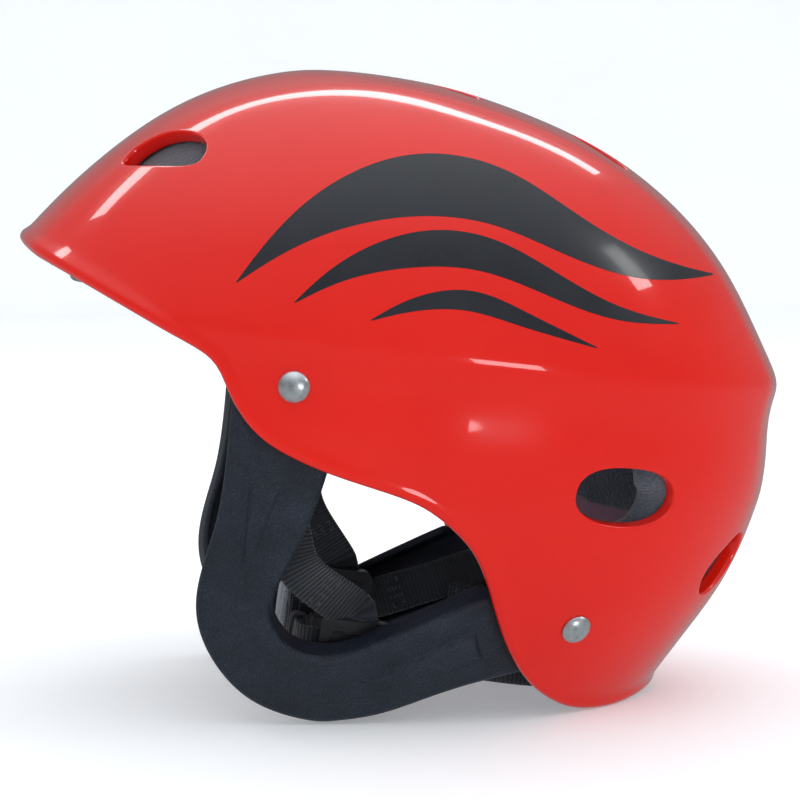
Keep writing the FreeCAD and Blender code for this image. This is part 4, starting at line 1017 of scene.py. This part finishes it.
def sewn_channels(piece, lines, depth, width, inward):
    """Pinches channels: each line is a function of upright points giving the distance from it."""
    points = upright(coordinates(piece.data))
    pinch = sum(np.exp(-(line(points) / width) ** 2) for line in lines)
    pinch = np.minimum(pinch, 1.0)
    normal = np.zeros(len(piece.data.vertices) * 3)
    piece.data.vertices.foreach_get("normal", normal)
    normal = normal.reshape(-1, 3)
    facing = (normal * unit(inward(points))).sum(-1)
    moved = coordinates(piece.data) - normal * (pinch * np.clip(facing, 0, 1) * depth * MM)[:, None]
    piece.data.vertices.foreach_set("co", moved.ravel())
    piece.data.update()


def to_middle(points):
    """Direction from the liner towards the middle of the head, in the row frame."""
    return world(np.broadcast_to([0.0, -4.0, -20.0], points.shape)) - world(points)


BROW_EDGE = [(-150.0, 14.6), (-125.0, 5.2), (-109.5, -0.6), (-91.7, -8.0), (-80.0, -13.5),
             (-66.0, -22.0)]
BROW_TOP = 73.5


def brow_spot(a, b):
    low = -11.0 + 0 * a
    angle = np.full(np.shape(a), math.pi)
    for _ in range(4):
        height = low + (BROW_TOP - low) * (b + 1) / 2
        end, _ = side_spot(-66.0 + 0 * a, height)
        angle = math.pi + a * (math.pi - end)
        front = form(angle, level_at(height))[..., 1]
        low = np.interp(front, [y for y, _ in BROW_EDGE], [h for _, h in BROW_EDGE])
    return angle, level_at(height)


def rear_pad_spot(a, b):
    height = -15.0 + 58.5 * b
    end, _ = side_spot(80.5 - 22.0 * ease((-52.0 - height) / 8.0), height)
    return a * end, level_at(height)


def side_pad_spot(a, b):
    return side_spot(19.5 + 37.0 * a, 1.5 + 39.0 * b)


def crown_spot(a, b):
    return top_spot(49.0 * a * np.sqrt(1 - b * b / 2.6), -3.0 + 57.0 * b * np.sqrt(1 - a * a / 2.6))


def nape_spot(a, b):
    height = -88.8 + 9.3 * b
    end, _ = side_spot(58.5 + 0 * a, height)
    return a * end, level_at(height)


LINER = (LINER_FACE + 0.3, LINER_FACE + LINER_THICK - 0.6)
PADS = {
    "brow": (brow_spot, LINER, (290.0, 82.0), 5.2, 30, 84),
    "crown": (crown_spot, LINER, (98.0, 114.0), 5.2, 32, 28),
    "rear": (rear_pad_spot, LINER, (280.0, 117.0), 5.2, 34, 80),
    "left": (side_pad_spot, LINER, (74.0, 78.0), 5.2, 26, 26),
    "right": (side_pad_spot, LINER, (74.0, 78.0), 5.2, 26, 26),
    "nape": (nape_spot, (12.6, 20.0), (150.0, 18.6), 3.7, 14, 70),
}
CHANNELS = {
    "brow": [lambda p: np.abs(p[:, 0]), lambda p: np.abs(np.abs(p[:, 0]) - 44.0),
             lambda p: np.abs(np.abs(p[:, 0]) - 78.0)],
    "crown": [lambda p: np.abs(p[:, 0]), lambda p: np.abs(p[:, 1] + 3.0)],
    "rear": [lambda p: np.abs(p[:, 0]), lambda p: np.abs(np.abs(p[:, 0]) - 40.0),
             lambda p: np.abs(p[:, 2] + 18.0)],
    "left": [lambda p: np.abs(p[:, 1] - 19.5)],
    "right": [lambda p: np.abs(p[:, 1] - 19.5)],
    "nape": [lambda p: np.abs(np.abs(p[:, 0]) - 24.0)],
}


def make_pads():
    for name, (spot, depths, size, edge, rows, columns) in PADS.items():
        points, faces = pillow(spot, depths, size, edge, rows, columns)
        if name == "right":
            points = points * mirror(-1.0)
        slot, finish = ("pale_foam", NAPE_FOAM) if name == "nape" else ("foam", FOAM)
        pad = new_piece(f"pad_{name}", points, faces, None, slot, [finish])
        swell_by_cloth(pad, 0.0042 if name == "nape" else 0.005)
        sewn_channels(pad, CHANNELS[name], 2.2, 2.4, to_middle)
        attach(pad, "helmet")
        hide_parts(f"liner_{name}_pad")


make_pads()


# ---------------------------------------------------------------- rivets and washers

FRONT_RIVET = (-40.7, -19.0)
REAR_RIVET = (69.0, -93.0)
SEAT_GAP = 0.3
SHANK_LENGTH = 11.4
RIVET_HEAD = [(0.0, 2.75), (1.2, 2.68), (2.4, 2.42), (3.5, 1.98), (4.4, 1.4), (5.05, 0.8), (5.4, 0.38),
              (5.5, 0.12), (5.42, -0.25), (4.6, -0.35), (2.4, -0.35)]
RIVET_TAIL = [(radius, -SHANK_LENGTH + high) for radius, high in (
    (2.4, 0.1), (3.5, 0.0), (3.62, -0.3), (3.3, -0.9), (2.4, -1.2), (1.1, -1.05), (0.0, -0.95))]
WASHER = [(radius, -SHANK_LENGTH + high) for radius, high in (
    (2.65, 0.08), (2.75, 0.02), (5.8, 0.02), (6.0, 0.2), (6.0, 0.8), (5.8, 0.98), (2.75, 0.98),
    (2.65, 0.9))]
TURNED_SEGMENTS = 56


def turned(profile, centre, normal, closed=False):
    """Points and faces of a profile (radius, height) turned about a normal."""
    flat = unit(np.cross(normal, [0.0, 0.35, 1.0]))
    spoke = spokes(flat, np.cross(normal, flat), TURNED_SEGMENTS)
    rings = [centre + normal * high + spoke * radius for radius, high in profile]
    faces = grid_faces(len(profile), TURNED_SEGMENTS, wrap_rows=closed, wrap_columns=True)
    return np.concatenate(rings), faces


def joined(parts):
    points, faces = [], []
    for some_points, some_faces in parts:
        start = sum(len(p) for p in points)
        points.append(np.asarray(some_points))
        faces += [tuple(k + start for k in f) for f in some_faces]
    return np.concatenate(points), faces


def make_rivets():
    rivets, washers = [], []
    for side in SIDES.values():
        for y, height in (FRONT_RIVET, REAR_RIVET):
            point, normal = under_side(y, height, -SEAT_GAP, side)
            rivets.append(turned(RIVET_HEAD + RIVET_TAIL, point, normal))
            washers.append(turned(WASHER, point, normal, closed=True))
    piece = new_piece("domed_rivets", *joined(rivets), "helmet", "rivet", [STEEL])
    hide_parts("shell_rivets")
    piece = new_piece("back_washers", *joined(washers), "helmet", "washer", [WASHER_STEEL])
    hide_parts("rivet_washers")


make_rivets()


# ---------------------------------------------------------------- webbing

WEB_WIDE = 16.0
WEB_THICK = 1.5
DIVIDER = np.array([61.8, -6.0, -114.0])
DIVIDER_SIZE = (8.0, 26.0, 25.0)
SLOT_OFFSET = 1.7
SLOT_LINES = {"front": (25.0, 4.5, 0.0), "rear": (18.0, 0.0, -3.0)}    # lean, and Y and Z at the middle
SLOT_REACHES = (18.0, 14.0, 10.5, 7.6)
CHIN_Y, CHIN_Z = -24.0, -114.0
CHIN_CORNER = DIVIDER[0] - SLOT_OFFSET
BUCKLE_MOUTH = 19.3
PLUG_BAR = BUCKLE_MOUTH + 0.4 + 5.0 + 4.2 + 1.5
SOCKET_BAR = BUCKLE_MOUTH - 26.0 - 4.2 - 1.5
BAR_REACH = 1.5 + 0.7 + WEB_THICK / 2
LAYER_GAP = 0.3
CHIN_LIVE = CHIN_Y - (WEB_THICK + LAYER_GAP / 2) / 2
CHIN_BACK = CHIN_Y + (WEB_THICK + LAYER_GAP / 2) / 2
FRONT_STRAP_ROUTES = {
    "left": [(-40.3, -10.0, 9.0), (-40.7, -19.0, 9.0), (-41.1, -27.5, 9.2), (-41.6, -38.0, 12.0),
             (-41.6, -50.0, 16.2), (-40.2, -66.0, 18.9), (-35.6, -80.0, 19.4), (-27.6, -92.0, 19.8)],
    "right": [(-40.3, -10.0, 9.0), (-40.7, -19.0, 9.0), (-39.9, -27.5, 9.2), (-38.2, -38.0, 12.6),
              (-35.4, -50.0, 17.6), (-31.4, -64.0, 19.2), (-26.6, -78.0, 19.4), (-20.8, -90.0, 19.8)],
}
REAR_STRAP_ROUTE = [(77.0, -90.6, 9.1), (69.0, -93.0, 9.1), (61.0, -96.0, 9.2), (49.5, -101.6, 12.8),
                    (37.5, -108.4, 17.4), (26.5, -113.2, 19.4)]


def web_profile():
    """A woven tape's section: flat faces, round corded edges, a slightly thicker selvedge."""
    half, high = WEB_WIDE / 2, WEB_THICK / 2
    across = np.array([-0.93, -0.8, -0.6, -0.3, 0.0, 0.3, 0.6, 0.8, 0.93]) * half
    top = [(u, high * (1.0 if abs(u) > 0.75 * half else 0.86)) for u in across]
    edge = [(half * 0.985, high * 0.7), (half, 0.0), (half * 0.985, -high * 0.7)]
    return np.array(top + edge + [(u, -v) for u, v in reversed(top)] + [(-u, v) for u, v in reversed(edge)])


def tape(points, across):
    """Points, faces and millimetre UVs of a tape along a dense line."""
    points = np.asarray(points, float)
    along = tangents(points)
    side = unit(across - along * (across * along).sum(-1, keepdims=True))
    up = np.cross(along, side)
    section = web_profile()
    ring = points[:, None] + side[:, None] * section[None, :, :1] + up[:, None] * section[None, :, 1:]
    rows, columns = ring.shape[:2]
    run = np.concatenate([[0], np.cumsum(np.linalg.norm(np.diff(points, axis=0), axis=1))])
    uvs = np.stack([np.broadcast_to(section[:, 0], (rows, columns)),
                    np.broadcast_to(run[:, None], (rows, columns))], -1)
    return ring.reshape(-1, 3), capped_tube(rows, columns), uvs.reshape(-1, 2)


def add_tape(name, points, across, body="helmet"):
    ring, faces, uvs = tape(points, across)
    return new_piece(name, ring, faces, body, "webbing", [WEB], uvs=uvs)


THREAD_SIDES = 8
THREAD_PROFILE = ((0.0, 0.12), (0.1, 0.75), (0.35, 1.0), (0.65, 1.0), (0.9, 0.75), (1.0, 0.12))
THREAD_ARCH = 0.12               # how far a stitch bows out


def stitches(name, rows, facing, length=2.1, gap=0.7, thick=0.55, body="helmet"):
    """Sewn rows: each row is a line of points, each stitch a short rounded thread."""
    parts = []
    for row, outward in zip(rows, facing):
        run = np.linalg.norm(np.diff(row, axis=0), axis=1).sum()
        count = max(2, int(run / (length + gap)))
        line = evenly(row, count * 2)
        for a, b in zip(line[0::2], line[1::2]):
            along, up = unit(b - a), unit(outward)
            spoke = spokes(np.cross(along, up), up, THREAD_SIDES)
            rings = [a + (b - a) * t + up * (THREAD_ARCH * math.sin(math.pi * t)) + spoke * thick / 2 * r
                     for t, r in THREAD_PROFILE]
            parts.append((np.concatenate(rings), capped_tube(len(THREAD_PROFILE), THREAD_SIDES)))
    points, faces = joined(parts)
    uvs = np.stack([points[:, 0] * 3, points[:, 1] * 3 + points[:, 2] * 3], -1)
    return new_piece(name, points, faces, body, "webbing", [THREAD], uvs=uvs)


def bar_tack(centre, along, across, outward, long, wide):
    """A box of stitching with a cross in it, as lines and outward directions."""
    corners = [centre + along * (a * long / 2) + across * (b * wide / 2)
               for a, b in ((-1, -1), (1, -1), (1, 1), (-1, 1))]
    lines = [(corners[i], corners[(i + 1) % 4]) for i in range(4)]
    lines += [(corners[0], corners[2]), (corners[1], corners[3])]
    return [np.linspace(a, b, 5) for a, b in lines], [outward] * 6


STRAP_POINTS = 90
TACK_PLACE = 70                  # of those points along an ear strap
TACK_SINK = 0.08                 # how far a stitch lies in the tape's face
TACK_HIGH = 11.5


def tacks(points, k, across, normal, long):
    """Bar tacks on both faces of a tape, at its point k."""
    rows, outs = [], []
    for face in (1, -1):
        tack = bar_tack(points[k] + normal * face * (WEB_THICK / 2 - TACK_SINK), tangents(points)[k],
                        across, normal * face, long, TACK_HIGH)
        rows, outs = rows + tack[0], outs + tack[1]
    return rows, outs


def slot_points(place):
    """Points of an ear strap's straight last run into the left divider."""
    lean, y, height = SLOT_LINES[place]
    turn = math.radians(lean)
    if place == "front":
        direction = np.array([0.0, -math.sin(turn), math.cos(turn)])
    else:
        direction = np.array([0.0, math.cos(turn), math.sin(turn)])
    start = DIVIDER + np.array([SLOT_OFFSET, y, height])
    return start + np.array(SLOT_REACHES)[:, None] * direction


def make_ear_straps():
    for name, side in SIDES.items():
        for place, route in (("front", FRONT_STRAP_ROUTES[name]), ("rear", REAR_STRAP_ROUTE)):
            route = np.array(route)
            knots, normals = under_side(route[:, 0], route[:, 1], route[:, 2], side)
            knots = np.concatenate([knots, slot_points(place) * mirror(side)])
            normals = np.concatenate([normals, [[side, 0.0, 0.0]] * len(SLOT_REACHES)])
            points = through(knots, STRAP_POINTS)
            marks = [np.argmin(np.linalg.norm(points - knot, axis=1)) for knot in knots]
            facing = np.stack([np.interp(np.arange(STRAP_POINTS), marks, column) for column in normals.T], -1)
            across = np.cross(tangents(points), unit(facing))
            piece = add_tape(f"web_{place}_{name}", points, across)
            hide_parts(f"{name}_{place}_strap")
            k = TACK_PLACE
            stitches(f"stitch_{place}_{name}", *tacks(points, k, unit(across[k]), unit(facing[k]), 4.5))


RUN_SPACING = 0.5


def straight(start, end):
    """Points of a run after its start, closely spaced."""
    count = max(2, int(np.linalg.norm(end - start) / RUN_SPACING))
    return [start + (end - start) * t for t in np.linspace(0, 1, count)[1:]]


def cornered(corners, height=CHIN_Z):
    """A dense level line of straight runs and tangent arcs through (x, y, radius) corners."""
    line = [np.array(corners[0][:2])]
    for (x, y, radius), after in zip(corners[1:], corners[2:]):
        corner = np.array([x, y])
        back, ahead = unit(line[-1] - corner), unit(np.array(after[:2]) - corner)
        half_turn = math.acos(np.clip(back @ ahead, -1, 1)) / 2
        reach = radius / math.tan(half_turn)
        middle = unit(back + ahead)
        centre = corner + middle * radius / math.sin(half_turn)
        start, end = corner + back * reach, corner + ahead * reach
        a0 = math.atan2(*(start - centre)[::-1])
        sweep = math.atan2(*(end - centre)[::-1]) - a0
        sweep = (sweep + math.pi) % (2 * math.pi) - math.pi
        line += straight(line[-1], start)
        for t in np.linspace(0, 1, 15)[1:]:
            line.append(centre + radius * np.array([math.cos(a0 + sweep * t), math.sin(a0 + sweep * t)]))
    line += straight(line[-1], np.array(corners[-1][:2]))
    return np.array([(x, y, height) for x, y in line])


def bend_radius(line):
    """Corner radius that starts at the divider's front face and ends on a strap's line."""
    return DIVIDER[1] - DIVIDER_SIZE[1] / 2 - line


def make_chin_straps():
    front, rear = CHIN_Y - BAR_REACH, CHIN_Y + BAR_REACH
    fold = BAR_REACH - 0.01
    start = DIVIDER[1] - DIVIDER_SIZE[1] / 2 + 5.5
    tail = front + WEB_THICK + LAYER_GAP
    left = cornered([(CHIN_CORNER, start, 0), (CHIN_CORNER, front, bend_radius(front)),
                     (PLUG_BAR - fold, front, fold), (PLUG_BAR - fold, rear, fold),
                     (PLUG_BAR + 4.0, rear, 4.0), (PLUG_BAR + 8.0, tail, 4.0), (PLUG_BAR + 19.0, tail, 0)])
    piece = add_tape("web_chin_left", left, UP, body=None)
    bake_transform(piece)
    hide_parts("left_chin_strap")

    live, back = CHIN_LIVE, CHIN_BACK
    parting, joint = SOCKET_BAR - 2.6, SOCKET_BAR - 6.0
    right = cornered([(-CHIN_CORNER, start, 0), (-CHIN_CORNER, live, bend_radius(live)), (joint, live, 4.0),
                      (parting, front, 2.0), (SOCKET_BAR + fold, front, fold),
                      (SOCKET_BAR + fold, rear, fold), (parting, rear, 2.0),
                      (joint, back, 4.0), (SOCKET_BAR - 8.0, back, 0)])
    piece = add_tape("web_chin_right", right, UP)
    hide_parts("right_chin_strap")


# X, Y and corner radius, from the left rear strap to the straight stretch at the back
NAPE_CORNERS = [(60.5, 38.0, 0.0), (62.0, 54.0, 25.0), (56.5, 70.0, 30.0), (43.0, 86.0, 30.0),
                (22.5, 98.3, 10.0)]
NAPE_HEIGHT = -110.0
NAPE_TACK = 10


def make_nape_strap():
    other = [(-x, y, radius) for x, y, radius in reversed(NAPE_CORNERS)]
    points = cornered(NAPE_CORNERS + other, NAPE_HEIGHT)
    piece = add_tape("web_nape", points, UP)
    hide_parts("nape_strap")
    rows, outs = [], []
    for k in (NAPE_TACK, -NAPE_TACK):
        tack = tacks(points, k, UP, unit(np.cross(tangents(points)[k], UP)), 4.6)
        rows, outs = rows + tack[0], outs + tack[1]
    stitches("stitch_nape", rows, outs)


make_ear_straps()
make_chin_straps()
make_nape_strap()


# ---------------------------------------------------------------- chin pad and keeper

CHIN_PAD = (27.5, 12.5, 25.0)    # along X, across Y, high
CHIN_PAD_START = -CHIN_CORNER + bend_radius(CHIN_LIVE) + 4.0
KEEPER_START = PLUG_BAR + 9.9
KEEPER_LONG = 5.5
SLEEVE_LIP = 1.2
SEAM_INSET = 4.2                 # from the chin pad's ends to its sewn seams


def sleeve(centre, long, outer, inner, bulge, pinch, rows=40, around=64, power=3.2):
    """A soft sleeve round a slot, crowned outside and pinched in at its sewn ends."""
    turn = 2 * math.pi * np.arange(around) / around
    shape = np.stack([spow(np.cos(turn), 2 / power), spow(np.sin(turn), 2 / power)], -1)
    bore = shape * np.array(inner) / 2
    rings = []
    for t in np.linspace(-1, 1, rows):
        grow = 1 - pinch * abs(t) ** 6 + bulge * math.cos(t * math.pi / 2)
        half = np.array([outer[0] / 2 * grow, outer[1] / 2 * (1 + (grow - 1) * 0.35)])
        rings.append((centre[0] + t * (long / 2 - SLEEVE_LIP), shape * half))

    def lip(end, skin, bends):
        """Rings that turn one end of the outside in to the bore."""
        return [(centre[0] + end * (long / 2 - SLEEVE_LIP + SLEEVE_LIP * math.sin(2 * k)),
                 skin + (bore - skin) * math.sin(k)) for k in bends]

    bends = np.linspace(0, math.pi / 2, 7)[1:]
    tunnel = [(centre[0] + t * (long / 2 - 1.4), bore) for t in np.linspace(1, -1, 12)]
    rings += lip(1, rings[-1][1], bends) + tunnel + lip(-1, rings[0][1], bends[::-1])
    points = np.concatenate([np.column_stack([np.full(around, x), centre[1] + s[:, 0], centre[2] + s[:, 1]])
                             for x, s in rings])
    run = np.cumsum([0.0] + [abs(b[0] - a[0]) + 0.4 for a, b in zip(rings, rings[1:])])
    uvs = np.concatenate([np.column_stack([turn * 6.0, np.full(around, r)]) for r in run])
    return points, grid_faces(len(rings), around, wrap_rows=True, wrap_columns=True), uvs


def make_chin_pad():
    centre = np.array([CHIN_PAD_START + CHIN_PAD[0] / 2, CHIN_LIVE, CHIN_Z])
    outer = (CHIN_PAD[1] - 1.2, CHIN_PAD[2] - 0.8)
    points, faces, uvs = sleeve(centre, CHIN_PAD[0], outer, (2.1, 17.0), 0.1, 0.2)
    pad = new_piece("chin_sleeve", points, faces, "chin_sleeve", "neoprene", [CHIN_FOAM], uvs=uvs)
    across = points[:, 1] - centre[1]
    seam = np.exp(-((np.abs(points[:, 0] - centre[0]) - CHIN_PAD[0] / 2 + SEAM_INSET) / 1.1) ** 2)
    moved = coordinates(pad.data)
    moved[:, 1] -= np.sign(across) * seam * 0.9 * (np.abs(across) > 2.4) * MM
    pad.data.vertices.foreach_set("co", moved.ravel())
    subdivide(pad, 1)
    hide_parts("chin_pad")
    rows, outs = [], []
    for end in (-1, 1):
        for face in (-1.0, 1.0):
            x = centre[0] + end * (CHIN_PAD[0] / 2 - SEAM_INSET)
            high = np.linspace(-9.0, 9.0, 13)
            bow = outer[0] / 2 * (1 - (np.abs(high) / 12.1) ** 3.2) ** (1 / 3.2) * 0.98 - 0.75
            rows.append(np.column_stack([np.full(13, x), centre[1] + face * bow, CHIN_Z + high]))
            outs.append(np.array([0.0, face, 0.0]))
    stitches("stitch_chin_sleeve", rows, outs, length=1.7, gap=0.6, thick=0.5, body="chin_sleeve")


def make_keeper():
    middle = CHIN_Y - BAR_REACH + (WEB_THICK + LAYER_GAP) / 2
    centre = np.array([KEEPER_START + KEEPER_LONG / 2, middle, CHIN_Z])
    inner = (2 * WEB_THICK + 0.9, 17.2)
    outer = (inner[0] + 2.9, inner[1] + 2.9)
    points, faces, uvs = sleeve(centre, KEEPER_LONG, outer, inner, 0.0, 0.05, rows=14, power=4.5)
    piece = new_piece("tail_keeper", points, faces, "keeper", "elastic", [ELASTIC], uvs=uvs)
    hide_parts("strap_keeper")


make_chin_pad()
make_keeper()


# ---------------------------------------------------------------- moulded fittings

def soften(node, width, finish):
    """Rounds a packed fitting's edges and gives it its finish."""
    piece = frame["nodes"][node]
    weld = piece.modifiers.new("Weld", "WELD")
    weld.merge_threshold = 2e-5
    bevel = piece.modifiers.new("Bevel", "BEVEL")
    bevel.width = width * MM
    bevel.segments = 3
    bevel.limit_method = "ANGLE"
    bevel.angle_limit = math.radians(35)
    bevel.harden_normals = False
    piece.data.materials.clear()
    piece.data.materials.append(finish)
    piece.data.polygons.foreach_set("use_smooth", [True] * len(piece.data.polygons))
    normals = piece.modifiers.new("Normals", "WEIGHTED_NORMAL")
    normals.keep_sharp = False


EDGE_WIDTHS = {"left_strap_divider": 0.7, "right_strap_divider": 0.7, "buckle_socket": 0.55,
               "buckle_plug": 0.45, "buckle_upper_prong": 0.4, "buckle_lower_prong": 0.4,
               "nape_adjuster": 0.5}
for fitting, edge_width in EDGE_WIDTHS.items():
    soften(fitting, edge_width, ACETAL)


BAR_STEPS = 10
BAR_SIDES = 12


def bar_of(low, high, radius, axis):
    """A slim round-ended rib between two points."""
    low, high = np.asarray(low, float), np.asarray(high, float)
    along = unit(high - low)
    side = unit(np.cross(along, axis))
    spoke = spokes(side, np.cross(side, along), BAR_SIDES)
    rings = []
    for k in range(BAR_STEPS + 1):
        bend = math.pi * k / BAR_STEPS
        size = math.sin(bend) ** 0.35 if 0 < k < BAR_STEPS else 0.05
        rings.append(low + (high - low) * (1 - math.cos(bend)) / 2 + spoke * radius * size)
    return np.concatenate(rings), capped_tube(BAR_STEPS + 1, BAR_SIDES)


def make_grips():
    """Ribs on the buckle's face, its plug and the dividers."""
    ribs = []
    for x in BUCKLE_MOUTH - np.arange(8.0, 21.1, 2.6):
        for y in (CHIN_Y - 4.45, CHIN_Y + 4.45):
            ribs.append(bar_of([x, y, CHIN_Z - 6.5], [x, y, CHIN_Z + 6.5], 0.45, [0, 1, 0]))
    new_piece("socket_ribs", *joined(ribs), "helmet", "hardware", [ACETAL])
    ribs = [bar_of([x, CHIN_Y - 3.95, CHIN_Z - 9.0], [x, CHIN_Y - 3.95, CHIN_Z + 9.0], 0.4, [0, 1, 0])
            for x in (BUCKLE_MOUTH + 1.9, BUCKLE_MOUTH + 3.9)]
    new_piece("plug_ribs", *joined(ribs), "plug", "hardware", [ACETAL])
    for name, side in SIDES.items():
        centre = DIVIDER * mirror(side)
        ribs = []
        for face in (1.0, -1.0):
            x = centre[0] + face * DIVIDER_SIZE[0] / 2
            for y0, z0, y1, z1 in ((-8.5, -8.0, 8.5, -8.0), (8.5, -8.0, 8.5, 8.0), (8.5, 8.0, -8.5, 8.0),
                                   (-8.5, 8.0, -8.5, -8.0)):
                ribs.append(bar_of([x, centre[1] + y0, centre[2] + z0], [x, centre[1] + y1, centre[2] + z1],
                                   0.5, [1, 0, 0]))
        new_piece(f"divider_ribs_{name}", *joined(ribs), "helmet", "hardware", [ACETAL])


make_grips()


# ---------------------------------------------------------------- stage, light and camera

CAMERA_TURN = math.radians(4.0)          # from the wearer's left towards the brim
CAMERA_RISE = math.radians(5.0)
CAMERA_AIM = Vector((0.0, 0.0, 0.1078))
CAMERA_DISTANCE = 1.0


def make_stage():
    """A pale floor that curves up into a backdrop all round."""
    profile = [(0.0, 0.0), (0.6, 0.0), (1.6, 0.0)]
    profile += [(2.6 + 1.1 * math.sin(t), 1.1 - 1.1 * math.cos(t)) for t in np.linspace(0, math.pi / 2, 14)]
    profile += [(3.7, 3.2)]
    segments = 96
    work = bmesh.new()
    rings = []
    turn = [2 * math.pi * k / segments for k in range(segments)]
    for radius, high in profile:
        rings.append([work.verts.new((radius * math.cos(t), radius * math.sin(t), high)) for t in turn])
    for a, b in zip(rings[1:], rings[2:]):
        for k in range(segments):
            work.faces.new((a[k], a[(k + 1) % segments], b[(k + 1) % segments], b[k]))
    work.faces.new(rings[1])
    for vert in rings[0]:
        work.verts.remove(vert)
    mesh = bpy.data.meshes.new("stage_floor")
    work.to_mesh(mesh)
    work.free()
    mesh.materials.append(pale_floor())
    floor = bpy.data.objects.new("stage_floor", mesh)
    floor.visible_glossy = False         # the gloss mirrors the windows, not the white set
    bpy.context.scene.collection.objects.link(floor)


def aim(item, target):
    item.rotation_euler = (Vector(target) - item.location).to_track_quat("-Z", "Y").to_euler()


LIGHT_TARGET = (0.0, 0.0, 0.11)


def area_light(name, place, size, power, colour, mirrored=True):
    light = bpy.data.lights.new(name, "AREA")
    light.shape = "RECTANGLE"
    light.size, light.size_y = size
    light.energy = power
    light.color = colour
    item = bpy.data.objects.new(name, light)
    item.location = place
    item.visible_glossy = mirrored
    bpy.context.scene.collection.objects.link(item)
    aim(item, LIGHT_TARGET)


# Brightness of the surroundings from straight down to straight up
SKY = [(0.0, 0.35), (0.42, 0.33), (0.52, 0.25), (0.68, 0.25), (0.84, 0.50), (1.0, 1.2)]


def make_sky():
    """A soft studio sky: bright above, a dim band at eye level, pale below."""
    world_shader = bpy.data.worlds.new("studio")
    world_shader.use_nodes = True
    tree = world_shader.node_tree
    ways = tree.nodes.new("ShaderNodeTexCoord")
    split = tree.nodes.new("ShaderNodeSeparateXYZ")
    half = tree.nodes.new("ShaderNodeMapRange")
    half.inputs["From Min"].default_value = -1.0
    ramp = tree.nodes.new("ShaderNodeValToRGB")
    elements = ramp.color_ramp.elements
    while len(elements) < len(SKY):
        elements.new(0.5)
    for element, (at, bright) in zip(elements, SKY):
        element.position = at
        element.color = (0.93 * bright, 0.97 * bright, bright, 1.0)
    tree.links.new(ways.outputs["Generated"], split.inputs[0])
    tree.links.new(split.outputs["Z"], half.inputs["Value"])
    tree.links.new(half.outputs["Result"], ramp.inputs["Fac"])
    tree.links.new(ramp.outputs["Color"], tree.nodes["Background"].inputs["Color"])
    tree.nodes["Background"].inputs["Strength"].default_value = 1.0
    bpy.context.scene.world = world_shader


def make_lights():
    make_sky()
    bpy.context.scene.view_settings.view_transform = "Standard"
    area_light("overhead", (0.4, -0.1, 2.3), (2.2, 2.0), 8.5, (0.98, 0.99, 1.0), mirrored=False)
    area_light("front_fill", (1.5, -1.4, 0.8), (0.9, 0.9), 1.5, (1.0, 0.99, 0.98), mirrored=False)
    area_light("roof_strip", (-0.85, -0.15, 1.6), (2.9, 0.15), 8.5, (0.98, 0.99, 1.0))
    area_light("rear_window", (0.35, 1.8, 1.35), (0.30, 0.45), 3.0, (0.97, 0.99, 1.0))
    area_light("low_window", (1.5, 0.62, 0.16), (0.42, 0.30), 2.6, (0.95, 0.98, 1.0))


def make_camera():
    data = bpy.data.cameras.new("camera")
    data.sensor_width = 36.0
    data.lens = 120.0
    data.clip_end = 50.0
    item = bpy.data.objects.new("camera", data)
    level = math.cos(CAMERA_RISE)
    away = Vector((math.cos(CAMERA_TURN) * level, -math.sin(CAMERA_TURN) * level, math.sin(CAMERA_RISE)))
    item.location = CAMERA_AIM + away * CAMERA_DISTANCE
    aim(item, CAMERA_AIM)
    bpy.context.scene.collection.objects.link(item)
    bpy.context.scene.camera = item


make_stage()
make_lights()
make_camera()
